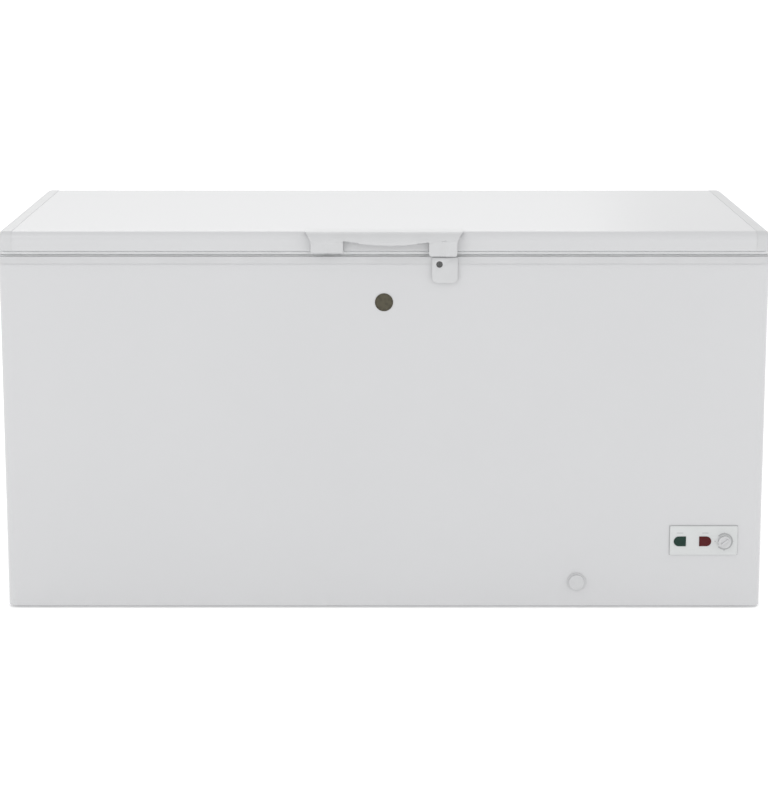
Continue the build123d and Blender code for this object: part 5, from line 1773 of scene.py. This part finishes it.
# ---------------------------------------------------------------- storage baskets
@dataclass
class WireBasket:
    """One hanging basket of dipped wire: bent ribs both ways, three rails and two hook handles."""

    side: str
    rib_mm: float = 1.7
    rail_mm: float = 2.6
    pitch_mm: float = 28.0
    bend_mm: float = 14.0
    hang_mm: tuple[float, float, float] = (1.0, 13.5, 17.0)
    rail_heights: tuple[float, float, float] = (1.0, 0.66, 0.33)
    hook_mm: float = 2.2
    hook_rest_mm: float = 1.6
    hook_reach_mm: float = 3.0
    hook_inset_mm: float = 40.0
    hook_drop_mm: float = 30.0

    def build(self, room: Showroom) -> None:
        """Bends every wire and joins them into one basket.

        Args:
            room: where the pieces go.
        """
        node = f"basket_{self.side}"
        low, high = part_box(node)
        body = f"{self.side} basket"
        side, end, drop = self.hang_mm
        cage = (low + Vector((side, end, 0.0)) * MM, high - Vector((side, end, drop)) * MM)
        meshes = [self._ribs(cage, True), self._ribs(cage, False)]
        meshes += [*self._rails(cage), *self._hooks(cage, low, high)]
        shape = Shape()
        for mesh in meshes:
            shape.form.from_mesh(mesh)
        joined = bpy.data.meshes.new(node)
        shape.form.to_mesh(joined)
        name = f"wire_basket_{self.side}"
        room.add(name, joined, "coated_wire", body, [node], crease=60.0)

    def _wires(
        self,
        path: Sequence[Sequence[float]],
        closed: bool,
        count: int,
        step: Sequence[float],
        radius_mm: float,
    ) -> bpy.types.Mesh:
        """Bends one path and repeats it.

        Args:
            path: the bend points.
            closed: whether the last point joins the first.
            count: how many wires there are.
            step: from one wire to the next.
            radius_mm: the wire's radius.

        Returns:
            The wires as one mesh.
        """
        base = bpy.data.meshes.new("wire_path")
        edges = [(i, i + 1) for i in range(len(path) - 1)]
        if closed:
            edges.append((len(path) - 1, 0))
        base.from_pydata([tuple(point) for point in path], edges, [])
        values = {
            "Count": count,
            "Step": tuple(step),
            "Bend Radius": self.bend_mm * MM,
            "Wire Radius": radius_mm * MM,
            "Finish": FINISHES["coated_wire"].material(),
        }
        return wire_rack().grow(base, values)

    def _ribs(self, cage: Box, lengthways: bool) -> bpy.types.Mesh:
        """U-shaped ribs, across the basket or along it.

        Args:
            cage: the basket's inner box.
            lengthways: whether they run front to back.

        Returns:
            The ribs as one mesh.
        """
        a, b = cage
        rib = self.rib_mm * MM
        inset = rib * (3 if lengthways else 1)
        if lengthways:
            count = round((b.x - a.x) / (self.pitch_mm * MM)) - 1
            step = (b.x - a.x) / (count + 1)
            x = a.x + step
            path = [(x, a.y + inset, b.z), (x, a.y + inset, a.z + inset)]
            path += [(x, b.y - inset, a.z + inset), (x, b.y - inset, b.z)]
            return self._wires(path, False, count, (step, 0.0, 0.0), self.rib_mm)
        count = round((b.y - a.y) / (self.pitch_mm * MM)) - 1
        step = (b.y - a.y) / (count + 1)
        y = a.y + step
        path = [(a.x + inset, y, b.z), (a.x + inset, y, a.z + inset)]
        path += [(b.x - inset, y, a.z + inset), (b.x - inset, y, b.z)]
        return self._wires(path, False, count, (0.0, step, 0.0), self.rib_mm)

    def _rails(self, cage: Box) -> list[bpy.types.Mesh]:
        """Thicker closed rails at the top, and thinner ones at two heights below.

        Args:
            cage: the basket's inner box.

        Returns:
            One mesh for each rail.
        """
        a, b = cage
        meshes = []
        tall = b.z - a.z
        radii = (self.rail_mm, self.rib_mm, self.rib_mm)
        for share, radius in zip(self.rail_heights, radii):
            z = a.z + tall * share
            path = [(a.x, a.y, z), (b.x, a.y, z), (b.x, b.y, z), (a.x, b.y, z)]
            meshes.append(self._wires(path, True, 1, (0.0, 0.0, 0.0), radius))
        return meshes

    def _hooks(self, cage: Box, low: Vector, high: Vector) -> list[bpy.types.Mesh]:
        """The bent handles at both ends that lie on the rim's ledge.

        Args:
            cage: the basket's inner box.
            low: the node's lowest corner.
            high: the node's highest corner.

        Returns:
            One mesh for each handle.
        """
        rest, reach = high.z - self.hook_rest_mm * MM, self.hook_reach_mm * MM
        meshes = []
        left, right = cage[0].x + self.hook_inset_mm * MM, cage[1].x - self.hook_inset_mm * MM
        foot = cage[1].z - self.hook_drop_mm * MM
        for inner, outer in ((cage[0].y, low.y + reach), (cage[1].y, high.y - reach)):
            path = [(left, inner, foot), (left, inner, rest), (left, outer, rest)]
            path += [(right, outer, rest), (right, inner, rest), (right, inner, foot)]
            meshes.append(self._wires(path, False, 1, (0.0, 0.0, 0.0), self.hook_mm))
        return meshes


# ---------------------------------------------------------------- vents, gland and feet
@dataclass
class Vents:
    """The hooded louvres over the side grille's slots."""

    pitch_mm: float = 14.0
    margin_mm: float = 20.0
    hood_mm: float = 2.4
    shell_mm: tuple[float, float, float] = (0.1, 0.7, 0.2)
    ends_mm: Profile = ((18.0, 0.05), (21.0, 0.7), (26.0, 1.0))
    rise_mm: tuple[float, float] = (1.6, 3.2)
    steps: int = 6

    def build(self, room: Showroom) -> None:
        """Bends one hood and repeats it up the grille.

        Args:
            room: where the pieces go.
        """
        low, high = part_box("side_grille")
        count = int((high.z - low.z - self.margin_mm * MM) / (self.pitch_mm * MM))
        middle = centre_of((low, high)).z
        start = middle - (count - 1) / 2 * self.pitch_mm * MM
        shape = Shape()
        rings = []
        for inset, out in self.ends_mm:
            rings.append(self._rib(shape, high.x, low.y + inset * MM, start, out))
        for inset, out in self.ends_mm[::-1]:
            rings.append(self._rib(shape, high.x, high.y - inset * MM, start, out))
        shape.skin(rings)
        shape.close(rings[0][::-1])
        shape.close(rings[-1])
        values = {
            "Count": count,
            "Step": (0.0, 0.0, self.pitch_mm * MM),
            "Finish": FINISHES["cap_plastic"].material(),
        }
        hoods = straight_row().grow(shape.mesh("hood"), values)
        room.add("grille_hoods", hoods, "cap_plastic", "cabinet", crease=50.0)

    def _rib(self, shape: Shape, face: float, y: float, z: float, out: float) -> list:
        """One cross-section of the hood: a thin shell that bulges out over the slot.

        Args:
            shape: the shape that takes the section.
            face: the grille's face, in X.
            y: the section's place.
            z: the slot's height.
            out: the share of the full bulge.

        Returns:
            The section's vertices.
        """
        proud, sunk, thick = (part * MM for part in self.shell_mm)
        under, over = [], []
        for i in range(self.steps + 1):
            t = i / self.steps
            bulge = self.hood_mm * out * math.sin(math.pi * (0.5 + t / 2)) * MM
            height = z + (self.rise_mm[0] + self.rise_mm[1] * t) * MM
            over.append((face + bulge + proud, y, height))
            under.append((face + bulge - sunk, y, height - thick))
        return shape.ring([*over, *under[::-1]])


@dataclass
class Gland:
    """The ribbed rubber gland where a supply cord would enter."""

    outer_mm: Profile = (
        (12.0, 0.0),
        (12.0, 2.6),
        (9.0, 3.0),
        (9.0, 4.0),
        (12.0, 4.2),
        (12.0, 5.0),
        (8.6, 5.2),
        (8.4, 5.8),
        (9.4, 6.0),
        (9.2, 6.6),
        (7.6, 6.8),
        (7.4, 7.2),
        (8.0, 7.4),
    )
    mouth_mm: tuple[float, float, float] = (7.6, 4.2, 3.8)

    def build(self, room: Showroom) -> None:
        """Turns the gland with its hole.

        Args:
            room: where the pieces go.
        """
        low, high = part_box("cord_gland")
        middle = centre_of((low, high))
        long = (high.y - low.y) / MM
        lip, mouth, bore = self.mouth_mm
        profile = [*self.outer_mm, (lip, long)]
        profile += [(mouth, long), (bore, long - 0.4), (bore, 0.4), (mouth, 0.0), profile[0]]
        shape = Shape()
        shape.lathe(profile, 40, (middle.x, low.y, middle.z), BACKWARD)
        bmesh.ops.remove_doubles(shape.form, verts=shape.form.verts, dist=SEAM)
        room.add("cord_boot", shape.mesh("cord_boot"), "black_rubber", "cabinet", ["cord_gland"])


@dataclass
class Feet:
    """Four levelling feet: a ribbed pad under a threaded stud."""

    thread_mm: float = 1.5
    stud_mm: tuple[float, float] = (4.4, 4.95)
    stud_start_mm: float = 8.4

    def build(self, room: Showroom) -> None:
        """Turns one foot at each corner.

        Args:
            room: where the pieces go.
        """
        for place in ("front_left", "front_right", "back_left", "back_right"):
            node = f"foot_{place}"
            low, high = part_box(node)
            middle = centre_of((low, high))
            radius, tall = half_width_mm((low, high)), (high.z - low.z) / MM
            profile = [(0.0, 0.0), (radius - 2.5, 0.0), (radius - 1.0, 0.6), (radius, 1.8), (radius, 3.0)]
            profile += [(radius - 1.0, 3.4), (radius - 1.0, 4.2), (radius, 4.6), (radius, 6.4)]
            profile += [(radius - 1.4, 7.8), (9.0, 8.0), (5.0, 8.0)]
            root, crest = self.stud_mm
            z = self.stud_start_mm
            while z < tall - 1.6:
                profile += [(root, z), (crest, z + self.thread_mm * 0.5)]
                z += self.thread_mm
            profile += [(root, tall - 0.8), (3.6, tall), (0.0, tall)]
            shape = Shape()
            shape.lathe(profile, 40, (middle.x, middle.y, low.z), UPWARD)
            name = f"levelling_foot_{place}"
            body = place.replace("_", " ") + " foot"
            room.add(name, shape.mesh(name), "black_plastic", body, [node])


SUB_ASSEMBLIES = (
    Handle(),
    LidSeal(),
    LidLining(),
    Screws("hinge_leaf_screws", "lid"),
    Screws("cabinet_screws", "cabinet"),
    BalanceSprings(),
    ControlStrip(),
    Lock(),
    Badge(),
    Drain(),
    WireBasket("left"),
    WireBasket("right"),
    Vents(),
    Gland(),
    Feet(),
)


# ---------------------------------------------------------------- camera, light and floor
@dataclass
class Studio:
    """A pale seamless floor, soft light and the camera in front of the freezer."""

    distance: float = 4.9625
    eye_height: float = 1.5128
    pitch: float = 10.024
    lens_mm: float = 97.79
    shift: float = -0.13
    floor_half: float = 120.0
    aim: tuple[float, float, float] = (0.0, 0.0, 0.5)
    lights: tuple[tuple[str, tuple[float, float, float], float, float], ...] = (
        ("key_light", (-2.6, -3.4, 3.6), 2.6, 30.0),
        ("fill_light", (3.2, -3.0, 2.2), 3.0, 12.0),
        ("back_light", (-0.4, 3.4, 3.0), 3.0, 22.0),
    )

    def build(self) -> None:
        """Puts up the camera, the lights, the sky and the floor."""
        self._camera()
        self._sky()
        for light in self.lights:
            self._light(*light)
        self._floor()

    def _camera(self) -> None:
        """Sets the camera level with the middle of the front, looking slightly down."""
        data = bpy.data.cameras.new("camera")
        data.lens = self.lens_mm
        data.shift_y = self.shift
        data.clip_end = 200.0
        camera = bpy.data.objects.new("camera", data)
        camera.location = (0.0, -self.distance, self.eye_height)
        camera.rotation_euler = (math.radians(90.0 - self.pitch), 0.0, 0.0)
        bpy.context.scene.collection.objects.link(camera)
        bpy.context.scene.camera = camera

    def _sky(self) -> None:
        """Lights the room white all round, a little dimmer straight overhead."""
        world = bpy.data.worlds.new("studio")
        bpy.context.scene.world = world
        world.use_nodes = True
        world.node_tree.nodes.clear()
        board = Board(world.node_tree)
        ray = board.add("ShaderNodeTexCoord", output="Generated")
        up = board.add("ShaderNodeSeparateXYZ", None, {0: ray}, "Z")
        strength = 1.0 - up.step(0.15, 0.95) * 0.04
        sky = board.add("ShaderNodeBackground", None, {"Color": (1.0, 1.0, 1.0, 1.0), "Strength": strength})
        end = world.node_tree.nodes.new("ShaderNodeOutputWorld")
        board.plug(end.inputs["Surface"], sky)
        bpy.context.scene.view_settings.view_transform = "Standard"

    def _light(self, name: str, place: Sequence[float], size: float, power: float) -> None:
        """Adds one soft square light that faces the middle of the freezer.

        Args:
            name: the light's name.
            place: where it stands.
            size: the side of its square.
            power: its power in watts.
        """
        data = bpy.data.lights.new(name, "AREA")
        data.size = size
        data.energy = power
        light = bpy.data.objects.new(name, data)
        light.location = place
        way = Vector(self.aim) - Vector(place)
        light.rotation_euler = way.to_track_quat("-Z", "Y").to_euler()
        bpy.context.scene.collection.objects.link(light)

    def _floor(self) -> None:
        """Lays the floor."""
        form = bmesh.new()
        bmesh.ops.create_grid(form, x_segments=1, y_segments=1, size=self.floor_half)
        mesh = bpy.data.meshes.new("floor")
        form.to_mesh(mesh)
        floor = bpy.data.objects.new("floor", mesh)
        bpy.context.scene.collection.objects.link(floor)
        finish = Backdrop("floor_paper", (0.93, 0.93, 0.93), 0.9)
        mesh.materials.append(finish.material())


def dress_frame(frame: dict) -> None:
    """Gives every frame node the material of its slot.

    Args:
        frame: the loaded frame.
    """
    slots = {row["node"]: row["material_slot"] for row in frame["record"]["subparts"]}
    for name, node in frame["nodes"].items():
        node.data.materials.clear()
        node.data.materials.append(FINISHES[slots[name]].material())


def main() -> None:
    """Builds the freezer's looks."""
    logging.basicConfig(level=logging.INFO, format="%(name)s: %(message)s")
    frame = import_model()
    dress_frame(frame)
    room = Showroom(frame)
    for part in SUB_ASSEMBLIES:
        part.build(room)
    Studio().build()


if __name__ == "__main__":
    main()
